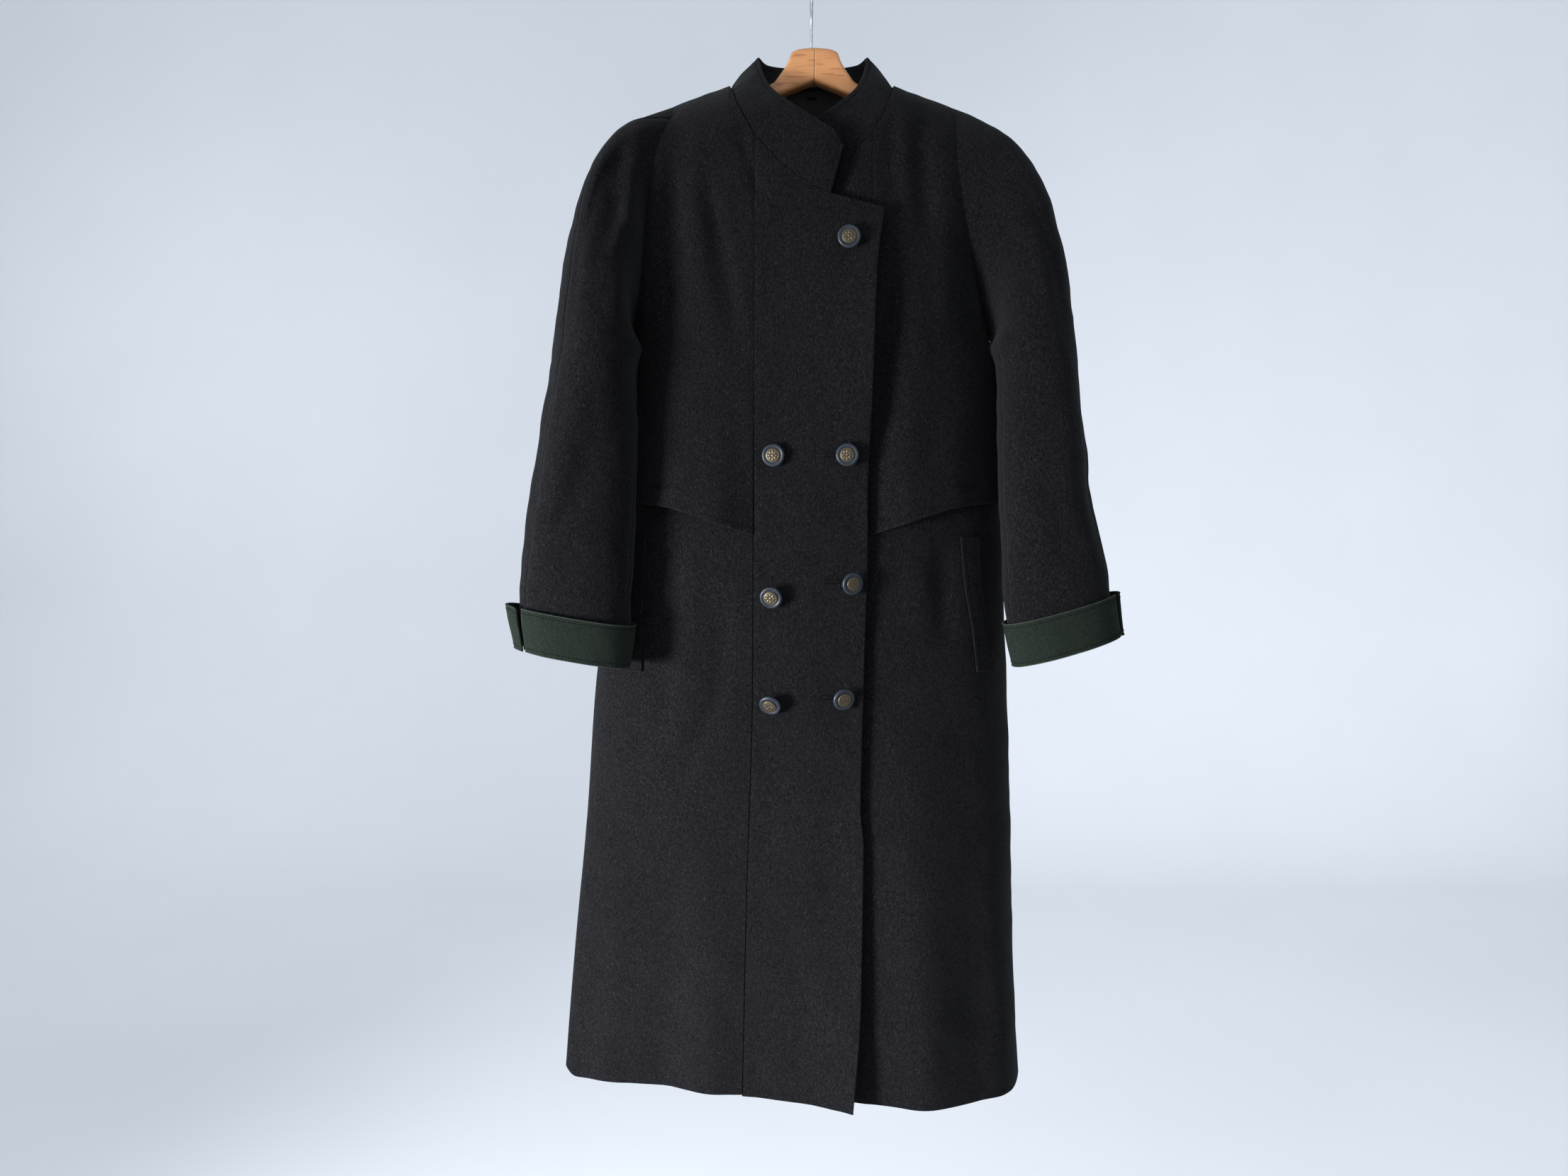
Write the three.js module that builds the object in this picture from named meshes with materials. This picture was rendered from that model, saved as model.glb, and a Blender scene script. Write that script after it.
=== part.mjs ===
// A double-breasted loden coat on a wooden hanger, hung up by the hanger's hook.
// Millimetres, +Z up, the coat's front faces -Y. The origin is where the hook bears on what holds it.
// The viewer's left is -X, which is the wearer's right.

import * as THREE from 'three';
import { mergeVertices } from 'three/addons/utils/BufferGeometryUtils.js';

// Driving dimensions
const CLOTH = 2.5; // wall of the loden cloth
const FELT = 2.8; // wall of the cuffs' felt
const SEAM_GAP = 0.3; // space between two pieces at a seam
const HEM_Z = -1290;
const UNDERARM_Z = -400;
const NECK_X = 92; // from the middle to the shoulder seam's neck end
const NECK_Z = -118;
const SHOULDER_SLOPE = 0.35; // fall of the shoulder seam for each millimetre outwards
const NECK_SLOPE = 0.22; // rise of the same line where it runs on inside the neck
const BACK_NECK_RISE = 6; // how far the back's neckline rises in the middle
const ARMHOLE_X = 155; // where the shoulder seam ends
const RIDGE_RADIUS = 70; // height over which front and back part from each other at the shoulder
const FLATNESS = 3; // power of the body's section, 2 is an ellipse
const SLEEVE_FLATNESS = 0.88; // power of the sleeve's section, 1 is an ellipse
const CUFF_HEIGHT = 48;
const CUFF_REST = 0.5; // space between a sleeve and its turned-back cuff
const CUFF_SPREAD = 2; // how far the cuff's upper edge stands out beyond its lower one
const BUTTON_RADIUS = 12.6;
const SHANK_RADIUS = 1.6;
const MEDALLION_RADIUS = 7.6;
const WIRE_RADIUS = 1.6;
const HOOK_RADIUS = 19; // inside the hook

// How the front's layers lie on each other
const LAP_RISE = 5.5; // how far the overlapping panel lies in front of the under one
const LAP_RISE_SHARE = 0.6; // share of the panel's width over which it rises
const LAP_DROP = 8; // how far the under panel lies behind the overlapping one's seam
const LAP_DROP_SHARE = 0.5; // share of the panel's width over which it drops
const FLAP_REST = 2.6; // the side panel lies this far back under the storm flap
const FLAP_REST_ZONE = [-640, -570]; // heights between which it goes back
const FLAP_SPACE = 0.4; // between the storm flap and the side panel
const FLAP_STAND = 12; // how far the storm flap's lower edge stands off
const FLAP_BEND = 1.5; // power of its curve outwards from the underarm down

// The body's sections: side folds, their depth, and how far front and back stand from them
const BODY = [
  // z, left, right, leftY, rightY, front, back, turn
  [-90, -204, 204, 4, 4, 62, 40, 0],
  [-250, -204, 204, 4, 4, 72, 42, 0],
  [-400, -204, 204, 6, 6, 80, 42, 0],
  [-425, -205, 212, 6, 7, 81, 42, 0],
  [-450, -207, 216, 7, 8.5, 81, 42, 0],
  [-520, -211, 221, 8, 12, 82, 42, 0],
  [-640, -228, 226, 10, 14, 82, 42, 0.01],
  [-745, -246, 230, 12, 16, 82, 42, 0.03],
  [-800, -254, 233, 14, 16, 80, 42, 0.04],
  [-965, -268, 240, 20, 18, 74, 42, 0.08],
  [-1100, -283, 245, 25, 20, 68, 42, 0.11],
  [-1200, -293, 250, 28, 22, 63, 43, 0.13],
  [-1290, -301, 257, 30, 24, 60, 45, 0.15],
];

// The largest folds, each a soft ridge (+) or trough (-) along a line down one side of the body
const FOLDS = [
  // side, topX, topZ, lowX, lowZ, width, rise, lowShare
  [-1, -105, -250, -74, -440, 12, -6, 0],
  [-1, -134, -145, -128, -430, 15, 4, 0],
  [-1, 118, -140, 126, -320, 12, -5, 0],
  [-1, 142, -145, 148, -420, 15, 4, 0],
  [-1, 144, -615, 148, -740, 15, -5, 0],
  [-1, -60, -740, -104, -930, 18, -7, 0],
  [-1, -118, -960, -118, -1290, 30, 8, 1],
  [-1, 112, -820, 136, -1290, 34, 14, 1],
  [1, -118, -560, -132, -1290, 34, 9, 1],
  [1, -10, -640, -6, -1290, 34, -10, 1],
  [1, 96, -520, 118, -1290, 34, 9, 1],
  [1, -96, -220, -70, -520, 22, 4, 0],
];

// The armholes from the shoulder seam's end down to the underarm, as x at a height
const LEFT_ARMHOLE = [
  [-158, -155], [-180, -163], [-200, -171], [-240, -178], [-300, -185], [-350, -192], [-400, -204],
];
const RIGHT_ARMHOLE = [[-158, 155], [-211, 158], [-260, 166], [-328, 182], [-370, 194], [-400, 204]];

// The seams and edges that run down the front, as x at a height
const LEFT_SEAM = [[-187, -63], [-517, -65], [-810, -67], [-937, -71], [-1020, -74], [-1290, -81]];
const RIGHT_SEAM = [[-187, 64], [-600, 64], [-1290, 66]];
const LAP_EDGE = [
  [-269, 77], [-334, 68], [-426, 63], [-551, 60], [-636, 61], [-765, 58], [-931, 56], [-976, 60], [-1165, 59],
  [-1293, 52],
];
const UNDER_EDGE = [[-269, -76], [-426, -72], [-1290, -70]];
// How far the overlapping panel's free edge stands off, at a height
const LAP_FLARE = [
  [-260, 3], [-330, 9], [-400, 13], [-480, 10], [-560, 4], [-900, 3], [-1150, 8], [-1290, 18],
];
// The neckline of a front, from the shoulder seam down to the panel's front corner: x, z
const NECKLINE = [
  [92, -118], [87, -138], [83, -152], [74, -170], [64, -187], [53, -199], [42, -212], [30, -223], [19, -233],
  [-4, -247], [-19, -253], [-77, -269],
];
// The storm flap's lower edge, from the side to the panel seam: x, z
const FLAP_EDGE = [[240, -586], [190, -588], [160, -591], [131, -599], [102, -609], [63, -623]];

// The sleeves below the underarm: centre, half sizes, turn in plan, and rise of the outer side
const LEFT_SLEEVE = [
  // z, out, depth, halfOut, halfDeep, turn, slope
  [-430, 243, -43, 46, 66, 14, 0],
  [-500, 247, -58, 53, 49, 11, 0.01],
  [-580, 253, -66, 58, 40, 6, 0.05],
  [-650, 259, -68, 61, 36, 2, 0.1],
  [-705, 262, -70, 61, 33, 0, 0.17],
  [-758, 264, -72, 57, 32, 0, 0.18],
];
const RIGHT_SLEEVE = [
  [-430, 251, -40, 43, 58, 2, 0],
  [-500, 255, -48, 47, 49, 3, 0.02],
  [-580, 261, -50, 51, 45, 2, 0.08],
  [-650, 269, -53, 55, 39, 0, 0.18],
  [-700, 277, -54, 57, 35, 0, 0.28],
  [-752, 287, -55, 57, 34, 0, 0.3],
];

// The collar's top edge from its front end round to the middle of the back: x, y, z
const COLLAR_TOP = [
  [33, -76, -203], [23, -75, -187], [8, -71, -176], [-10, -65, -163], [-31, -55, -146], [-45, -42, -131],
  [-54, -25, -110], [-60, -2, -85], [-52, 26, -84], [-32, 46, -82], [0, 54, -81],
];
const COLLAR_EAR = 7; // the row above where the collar turns to the back
const COLLAR_MIDDLE_X = 1.5;
const COLLAR_END_DROP = 10.4; // how far the hidden end lies behind the outer one

// The buttons: x, z, and how far each leans sideways and down, in degrees
const BUTTONS = [
  [39, -302, 0, 0],
  [-42, -534, 0, 0],
  [38, -534, 0, 0],
  [-44, -688, 6, 14],
  [40, -673, 26, 6],
  [-44, -806, 8, 26],
  [32, -801, 24, 8],
];

// Small sums
const lerp = (a, b, t) => a + (b - a) * t;
const clamp = (t) => Math.min(1, Math.max(0, t));
const smooth = (from, to, t) => {
  const s = clamp((t - from) / (to - from));
  return s * s * (3 - 2 * s);
};
const radians = (degrees) => (degrees * Math.PI) / 180;

// Looks up a table whose first column falls or rises steadily, in straight steps between its rows
function lookUp(table, key) {
  const rising = table[table.length - 1][0] > table[0][0];
  const rows = rising ? table : [...table].reverse();
  let i = 0;
  while (i < rows.length - 2 && key > rows[i + 1][0]) i += 1;
  const t = clamp((key - rows[i][0]) / (rows[i + 1][0] - rows[i][0]));
  return rows[i].slice(1).map((value, c) => lerp(value, rows[i + 1][c + 1], t));
}

// Height of the shoulder's ridge, which runs on inside the neck as a guide
function ridgeZ(x) {
  const out = Math.abs(x) - NECK_X;
  return NECK_Z - out * (out > 0 ? SHOULDER_SLOPE : NECK_SLOPE);
}

function foldRise(side, x, z) {
  let total = 0;
  for (const [foldSide, topX, topZ, lowX, lowZ, width, rise, lowShare] of FOLDS) {
    const t = (topZ - z) / (topZ - lowZ);
    if (foldSide !== side) continue;
    const share = smooth(0, 0.5, t) * lerp(1, lowShare, smooth(0.5, 1, t));
    const off = (x - lerp(topX, lowX, t)) / width;
    total += rise * share * Math.exp(-off * off);
  }
  return total;
}

// A point of the body's outer surface: u runs from -1 at the left fold to 1 at the right one
function bodySurface(side, u, z) {
  const [left, right, leftY, rightY, front, back, turn] = lookUp(BODY, z);
  const x = lerp(left, right, (1 + u) / 2);
  const round = Math.sqrt(Math.max(0, 1 - Math.abs(u) ** FLATNESS));
  const below = clamp((ridgeZ(x) - z) / RIDGE_RADIUS);
  const close = Math.sqrt(Math.max(0, 1 - (1 - below) ** 2));
  const depth = (side < 0 ? front : back) + foldRise(side, x, z);
  const turned = side < 0 ? turn * x * round : 0;
  return new THREE.Vector3(x, lerp(leftY, rightY, (1 + u) / 2) + side * depth * round * close - turned, z);
}

// The surface as an angle round the fold, so that the folds themselves are evenly covered
function bodyPoint(side, angle, z) {
  return bodySurface(side, Math.sin(angle), z);
}

// The outward direction there: straight up on the ridge and straight out on the side folds
const ANGLE_STEP = 0.004;
const RIDGE_REACH = 0.05;
function bodyNormal(side, angle, z) {
  const limit = Math.PI / 2;
  const top = ridgeZ(bodyPoint(side, angle, z).x);
  if (top - z < RIDGE_REACH) return new THREE.Vector3(0, 0, 1);
  if (limit - Math.abs(angle) < ANGLE_STEP / 2) return new THREE.Vector3(Math.sign(angle), 0, 0);
  const before = Math.max(-limit, angle - ANGLE_STEP);
  const after = Math.min(limit, angle + ANGLE_STEP);
  const across = bodyPoint(side, after, z).sub(bodyPoint(side, before, z));
  const down = bodyPoint(side, angle, z - 1).sub(bodyPoint(side, angle, Math.min(z + 1, top)));
  return across.cross(down).multiplyScalar(side).normalize();
}

function angleAt(x, z) {
  const [left, right] = lookUp(BODY, z);
  return Math.asin(Math.min(1, Math.max(-1, (2 * x - left - right) / (right - left))));
}

// A closed wall from matching grids of outer and inner points
function wall(outer, inner) {
  const rows = outer.length;
  const columns = outer[0].length;
  const points = [...outer.flat(), ...inner.flat()];
  const at = (layer, r, c) => layer * rows * columns + r * columns + c;
  const faces = [];
  const quad = (a, b, c, d) => faces.push(a, b, c, a, c, d);
  for (let r = 0; r < rows - 1; r += 1) {
    for (let c = 0; c < columns - 1; c += 1) {
      quad(at(0, r, c), at(0, r + 1, c), at(0, r + 1, c + 1), at(0, r, c + 1));
      quad(at(1, r, c), at(1, r, c + 1), at(1, r + 1, c + 1), at(1, r + 1, c));
    }
    quad(at(0, r, 0), at(1, r, 0), at(1, r + 1, 0), at(0, r + 1, 0));
    const last = columns - 1;
    quad(at(0, r, last), at(0, r + 1, last), at(1, r + 1, last), at(1, r, last));
  }
  for (let c = 0; c < columns - 1; c += 1) {
    quad(at(0, 0, c), at(0, 0, c + 1), at(1, 0, c + 1), at(1, 0, c));
    const last = rows - 1;
    quad(at(0, last, c), at(1, last, c), at(1, last, c + 1), at(0, last, c + 1));
  }
  return closedGeometry(points, faces);
}

// Makes a geometry from points and triangles, turned so that its faces point out
function closedGeometry(points, faces) {
  let volume = 0;
  for (let i = 0; i < faces.length; i += 3) {
    const [a, b, c] = [points[faces[i]], points[faces[i + 1]], points[faces[i + 2]]];
    volume += a.dot(b.clone().cross(c));
  }
  const turned = volume < 0 ? faces.slice().reverse() : faces;
  const geometry = new THREE.BufferGeometry();
  geometry.setAttribute('position', new THREE.Float32BufferAttribute(points.flatMap((p) => p.toArray()), 3));
  geometry.setIndex(turned);
  return geometry;
}

// A lofted bar through closed rings, with flat ends
function bar(rings) {
  const count = rings[0].length;
  const points = rings.flat();
  const faces = [];
  for (let r = 0; r < rings.length - 1; r += 1) {
    for (let i = 0; i < count; i += 1) {
      const [a, b] = [r * count + i, r * count + ((i + 1) % count)];
      faces.push(a, b, b + count, a, b + count, a + count);
    }
  }
  const lastRing = (rings.length - 1) * count;
  for (let i = 1; i < count - 1; i += 1) {
    faces.push(0, i + 1, i, lastRing, lastRing + i, lastRing + i + 1);
  }
  return closedGeometry(points, faces);
}

// Shares of a panel's height, close together where the cloth bends over the shoulder and under the arm
const UPPER_ROWS = 10;
const LOWER_ROWS = 12;
const FLAP_ROWS = 4; // of the storm flap below the underarm
const SETTLING_PASSES = 12; // that find a point whose seam and height both hang on where it is
const upperShares = Array.from(
  { length: UPPER_ROWS + 1 },
  (_, k) => (1 - Math.cos((Math.PI * k) / UPPER_ROWS)) / 2,
);

// A panel of the body: each row holds points of the surface with their outward directions
function panelGrid({ side, shares, innerAngle, outerAngle, topZ, lowZ, lowRows }) {
  const rows = [];
  const place = (share, height) => {
    let z = UNDERARM_Z;
    let angle = 0;
    for (let pass = 0; pass < SETTLING_PASSES; pass += 1) {
      angle = lerp(innerAngle(z), outerAngle(z), share);
      z = height(bodyPoint(side, angle, z).x);
    }
    return { angle, z };
  };
  for (const upper of upperShares) {
    rows.push(shares.map((share) => place(share, (x) => lerp(topZ(x), UNDERARM_Z, upper))));
  }
  for (let k = 1; k <= lowRows; k += 1) {
    rows.push(shares.map((share) => place(share, (x) => lerp(UNDERARM_Z, lowZ(x), k / lowRows))));
  }
  return rows.map((row) =>
    row.map(({ angle, z }) => ({
      point: bodyPoint(side, angle, z),
      normal: bodyNormal(side, angle, z),
    })),
  );
}

// Narrows a grid by half a seam's gap at its sides and its top
function insetGrid(grid, { first = true, last = true, top = true }) {
  const gap = SEAM_GAP / 2;
  const towards = (from, to, by) => from.add(to.clone().sub(from).normalize().multiplyScalar(by));
  for (const row of grid) {
    const end = row.length - 1;
    if (first) towards(row[0].point, row[1].point.clone(), gap);
    if (last) towards(row[end].point, row[end - 1].point.clone(), gap);
  }
  if (top) grid[0].forEach((cell, c) => towards(cell.point, grid[1][c].point.clone(), gap));
}

// Turns a grid into a wall whose outer face is lifted by a given amount
function panelWall(grid, lift = () => 0) {
  const layer = (depth) => grid.map((row) =>
    row.map((cell) => cell.point.clone().addScaledVector(cell.normal, lift(cell) - depth)),
  );
  return wall(layer(0), layer(CLOTH));
}

const coat = new THREE.Group();
const materials = {
  loden: new THREE.MeshStandardMaterial({ color: 0x1d1e20, roughness: 0.95, metalness: 0 }),
  felt: new THREE.MeshStandardMaterial({ color: 0x223028, roughness: 0.95, metalness: 0 }),
  horn: new THREE.MeshStandardMaterial({ color: 0x20252c, roughness: 0.4, metalness: 0 }),
  bronze: new THREE.MeshStandardMaterial({ color: 0x6d5f4a, roughness: 0.45, metalness: 1 }),
  beech: new THREE.MeshStandardMaterial({ color: 0xc79a68, roughness: 0.5, metalness: 0 }),
  wire: new THREE.MeshStandardMaterial({ color: 0xb4b6b8, roughness: 0.3, metalness: 1 }),
};

function addPiece(name, geometry, material) {
  const clean = geometry.clone();
  clean.deleteAttribute('normal');
  clean.deleteAttribute('uv');
  const mesh = new THREE.Mesh(mergeVertices(clean, 1e-4), materials[material]);
  mesh.name = name;
  coat.add(mesh);
  return mesh;
}

// Heights of the panels' top edges
const neckTable = (sign) => NECKLINE.map(([x, z]) => [sign * x, z]);
function frontTop(sign) {
  const table = neckTable(sign);
  return (x) => (sign * x > NECK_X ? ridgeZ(x) : lookUp(table, x)[0]);
}
function backTop(x) {
  const inside = Math.abs(x) < NECK_X;
  return inside ? NECK_Z + BACK_NECK_RISE * (1 - (x / NECK_X) ** 2) : ridgeZ(x);
}

// The front's panels, whose columns meet where the collar ends and at the shoulder seam's neck end
const seamX = (table) => (z) => lookUp(table, z)[0];
const leftSeam = seamX(LEFT_SEAM);
const rightSeam = seamX(RIGHT_SEAM);
const lapEdge = seamX(LAP_EDGE);
const underEdge = seamX(UNDER_EDGE);
function sideAngle(sign) {
  const armhole = seamX(sign < 0 ? LEFT_ARMHOLE : RIGHT_ARMHOLE);
  return (z) => (z > UNDERARM_Z ? angleAt(armhole(z), z) : (sign * Math.PI) / 2);
}

const hemZ = () => HEM_Z;
const lapGrid = panelGrid({
  side: -1,
  shares: [0, 0.14, 0.29, 0.44, 0.586, 0.72, 0.86, 1],
  innerAngle: (z) => angleAt(leftSeam(z), z),
  outerAngle: (z) => angleAt(lapEdge(z), z),
  topZ: frontTop(-1),
  lowZ: () => HEM_Z - 2,
  lowRows: LOWER_ROWS,
});
const underGrid = panelGrid({
  side: -1,
  shares: [0, 0.16, 0.32, 0.46, 0.591, 0.8, 1],
  innerAngle: (z) => angleAt(rightSeam(z), z),
  outerAngle: (z) => angleAt(underEdge(z), z),
  topZ: frontTop(1),
  lowZ: hemZ,
  lowRows: LOWER_ROWS,
});
function sideGrid(sign, lowZ, lowRows) {
  const seam = sign < 0 ? leftSeam : rightSeam;
  const across = [seam(NECK_Z), sign * NECK_X, sign * ARMHOLE_X];
  const [start, neckPoint, end] = across.map((x) => angleAt(x, NECK_Z));
  const neckShare = (neckPoint - start) / (end - start);
  return panelGrid({
    side: -1,
    shares: [0, neckShare / 3, (2 * neckShare) / 3, neckShare, 0.4, 0.52, 0.64, 0.76, 0.88, 1],
    innerAngle: (z) => angleAt(seam(z), z),
    outerAngle: sideAngle(sign),
    topZ: frontTop(sign),
    lowZ,
    lowRows,
  });
}
const sideGrids = { left: sideGrid(-1, hemZ, LOWER_ROWS), right: sideGrid(1, hemZ, LOWER_ROWS) };
const flapLowZ = (x) => lookUp(FLAP_EDGE, Math.abs(x))[0];
const flapGrids = { left: sideGrid(-1, flapLowZ, FLAP_ROWS), right: sideGrid(1, flapLowZ, FLAP_ROWS) };

// The back, with the same columns on both sides of its middle
const neckInside = angleAt(NECK_X, NECK_Z) / angleAt(ARMHOLE_X, NECK_Z);
const neckHalf = [0, 0.24, 0.5, 0.75, 1].map((share) => share * neckInside);
const shoulderHalf = [0.26, 0.5, 0.75, 1].map((share) => lerp(neckInside, 1, share));
const backHalf = [...neckHalf, ...shoulderHalf];
const backMirrored = backHalf.slice(1).reverse().map((share) => -share);
const backShares = [...backMirrored, ...backHalf].map((share) => (1 + share) / 2);
const backGrid = panelGrid({
  side: 1,
  shares: backShares,
  innerAngle: sideAngle(-1),
  outerAngle: sideAngle(1),
  topZ: backTop,
  lowZ: hemZ,
  lowRows: LOWER_ROWS,
});

// How far each layer lies in front of the body's surface
const lapLift = ({ point }) => {
  const share = clamp((point.x - leftSeam(point.z)) / (lapEdge(point.z) - leftSeam(point.z)));
  return LAP_RISE * smooth(0, LAP_RISE_SHARE, share) + lookUp(LAP_FLARE, point.z)[0] * share ** 3;
};
const underLift = ({ point }) => {
  const share = clamp((rightSeam(point.z) - point.x) / (rightSeam(point.z) - underEdge(point.z)));
  return -LAP_DROP * smooth(0, LAP_DROP_SHARE, share);
};
const sideLift = ({ point }) => -FLAP_REST * smooth(...FLAP_REST_ZONE, point.z);

// The storm flap stands off less near its seam and where the sleeve presses on it
const SEAM_HOLD = { share: 0.35, reach: 45 };
const SLEEVE_PRESS = { share: 0.2, from: 150, to: 200 };
const flapLift = (sign) => ({ point }) => {
  const seam = sign < 0 ? leftSeam : rightSeam;
  const down = Math.max(0, (UNDERARM_Z - point.z) / (UNDERARM_Z - FLAP_EDGE[2][1])) ** FLAP_BEND;
  const loose = lerp(SEAM_HOLD.share, 1, smooth(0, SEAM_HOLD.reach, Math.abs(point.x - seam(point.z))));
  const pressed = lerp(1, SLEEVE_PRESS.share, smooth(SLEEVE_PRESS.from, SLEEVE_PRESS.to, Math.abs(point.x)));
  return CLOTH + FLAP_SPACE - FLAP_REST + FLAP_STAND * down * loose * pressed;
};

// A point of a sleeve's section: turn 0 is its outer side, a quarter is its front
function sleevePoint(table, sign, z, turn, grow = 0) {
  const [out, depth, halfOut, halfDeep, lean, slope] = lookUp(table, z);
  const fill = (value) => Math.sign(value) * Math.abs(value) ** SLEEVE_FLATNESS;
  const outward = (halfOut + grow) * fill(Math.cos(2 * Math.PI * turn));
  const forward = (halfDeep + grow) * fill(Math.sin(2 * Math.PI * turn));
  const [c, s] = [Math.cos(radians(lean)), Math.sin(radians(lean))];
  const x = out + outward * c - forward * s;
  return new THREE.Vector3(sign * x, depth - outward * s - forward * c, z + slope * outward);
}

// The armhole's loop, from the top down the front and up the back, with the mitre both walls are cut on
const SHARPEST_MITRE = 0.5;
// The cap's curve as shares of its length, and how far up the armhole it starts to slope like the shoulder
const CAP = { leave: 0.3, arrive: 0.6, fall: 0.045, lean: 0.06, sloping: 0.5 };
const SLEEVE_PULL = 25; // outward share of the direction in which the sleeve leaves the armhole
function armholeLoop(name, sign, table) {
  const last = (row) => row[row.length - 1];
  const front = flapGrids[name].slice(0, UPPER_ROWS + 1).map(last);
  const under = sideGrids[name].slice(0, UPPER_ROWS + 1).map(last);
  const column = sign < 0 ? 0 : backShares.length - 1;
  const back = backGrid.slice(0, UPPER_ROWS + 1).map((row) => row[column]);
  const loop = [...front, ...back.slice(1, UPPER_ROWS).reverse()];
  const count = loop.length;
  const made = loop.map(({ point, normal }, j) => {
    const end = sleevePoint(table, sign, table[0][0], j / count);
    const tangent = loop[(j + 1) % count].point.clone().sub(loop[(j + count - 1) % count].point).normalize();
    const leave = new THREE.Vector3(end.x - point.x + sign * SLEEVE_PULL, end.y - point.y, 0);
    leave.addScaledVector(tangent, -leave.dot(tangent)).normalize();
    const top = 1 - Math.min(j, count - j) / (count / 2);
    leave.z -= SHOULDER_SLOPE * smooth(CAP.sloping, 1, top);
    leave.normalize();
    const outside = tangent.clone().cross(leave).multiplyScalar(sign);
    const mitre = normal.clone().add(outside).normalize();
    mitre.divideScalar(Math.max(SHARPEST_MITRE, mitre.dot(normal)));
    return { point: point.clone(), leave, normal: mitre };
  });
  made.forEach(({ normal }, j) => {
    const row = j <= UPPER_ROWS ? j : count - j;
    if (j <= UPPER_ROWS) {
      front[row].normal = normal.clone();
      under[row].normal = normal.clone();
    }
    if (j === 0 || j >= UPPER_ROWS) back[row].normal = normal.clone();
  });
  return made;
}
const armholes = { left: armholeLoop('left', -1, LEFT_SLEEVE), right: armholeLoop('right', 1, RIGHT_SLEEVE) };

// The neck's ring of points, from the collar's outer end round the back to its hidden end
const COLLAR_COLUMN = 4; // the front panels' column where the collar ends
const NECK_COLUMN = 3; // the side panels' column where the shoulder seam starts
function neckRing() {
  const lap = lapGrid[0].slice(0, COLLAR_COLUMN + 1).reverse();
  const under = underGrid[0].slice(0, COLLAR_COLUMN + 1);
  const across = (grid) => grid[0].slice(1, NECK_COLUMN + 1);
  const back = backGrid[0].slice(shoulderHalf.length + 1, -shoulderHalf.length - 1);
  const lifted = (cells, lift) => cells.map((cell) => ({
    point: cell.point.clone().addScaledVector(cell.normal, lift(cell)),
    normal: cell.normal.clone(),
  }));
  return [
    ...lifted(lap, lapLift),
    ...lifted(across(flapGrids.left), () => 0),
    ...lifted(back, () => 0),
    ...lifted(across(flapGrids.right).reverse(), () => 0),
    ...lifted(under, underLift),
  ];
}
const neck = neckRing();

insetGrid(lapGrid, { last: false });
insetGrid(underGrid, { last: false });
insetGrid(backGrid, {});
for (const name of ['left', 'right']) {
  insetGrid(sideGrids[name], {});
  insetGrid(flapGrids[name], {});
}

addPiece('right_front', panelWall(lapGrid, lapLift), 'loden');
addPiece('left_front', panelWall(underGrid, underLift), 'loden');
addPiece('right_side_front', panelWall(sideGrids.left, sideLift), 'loden');
addPiece('left_side_front', panelWall(sideGrids.right, sideLift), 'loden');
addPiece('right_storm_flap', panelWall(flapGrids.left, flapLift(-1)), 'loden');
addPiece('left_storm_flap', panelWall(flapGrids.right, flapLift(1)), 'loden');
addPiece('back', panelWall(backGrid), 'loden');

// The collar, one strip from its outer end round the back to the end that it covers
function along(points, share) {
  const lengths = points.map((point, i) => (i ? point.distanceTo(points[i - 1]) : 0));
  let left = share * lengths.reduce((sum, length) => sum + length, 0);
  let i = 1;
  while (i < points.length - 1 && left > lengths[i]) {
    left -= lengths[i];
    i += 1;
  }
  return points[i - 1].clone().lerp(points[i], clamp(left / lengths[i]));
}

function collarTop(sign, share, back) {
  const rows = COLLAR_TOP.map(([x, y, z]) => new THREE.Vector3(x, y, z));
  const point = along(back ? rows.slice(COLLAR_EAR) : rows.slice(0, COLLAR_EAR + 1), share);
  if (sign > 0) {
    point.x = 2 * COLLAR_MIDDLE_X - point.x;
    if (!back) point.y += COLLAR_END_DROP * (1 - smooth(0.2, 0.75, share));
  }
  return point;
}

// Directions square to a grid's surface, pointing the same way as the first row's
function gridNormals(grid, firstRow, closed) {
  return grid.map((row, r) => row.map((point, c) => {
    if (r === 0) return firstRow[c].clone();
    const last = row.length - 1;
    const before = row[c > 0 ? c - 1 : closed ? last : 0];
    const after = row[c < last ? c + 1 : closed ? 0 : last];
    const above = grid[Math.max(0, r - 1)][c];
    const below = grid[Math.min(grid.length - 1, r + 1)][c];
    return after.clone().sub(before).cross(below.clone().sub(above)).normalize();
  }));
}

// A cloth wall behind a grid, where outwards is -1 if the grid's own normals point in
function gridWall(grid, normals, outwards) {
  const inner = grid.map((row, r) =>
    row.map((point, c) => point.clone().addScaledVector(normals[r][c], -CLOTH * (r ? outwards : 1))),
  );
  return wall(grid, inner);
}

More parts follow.
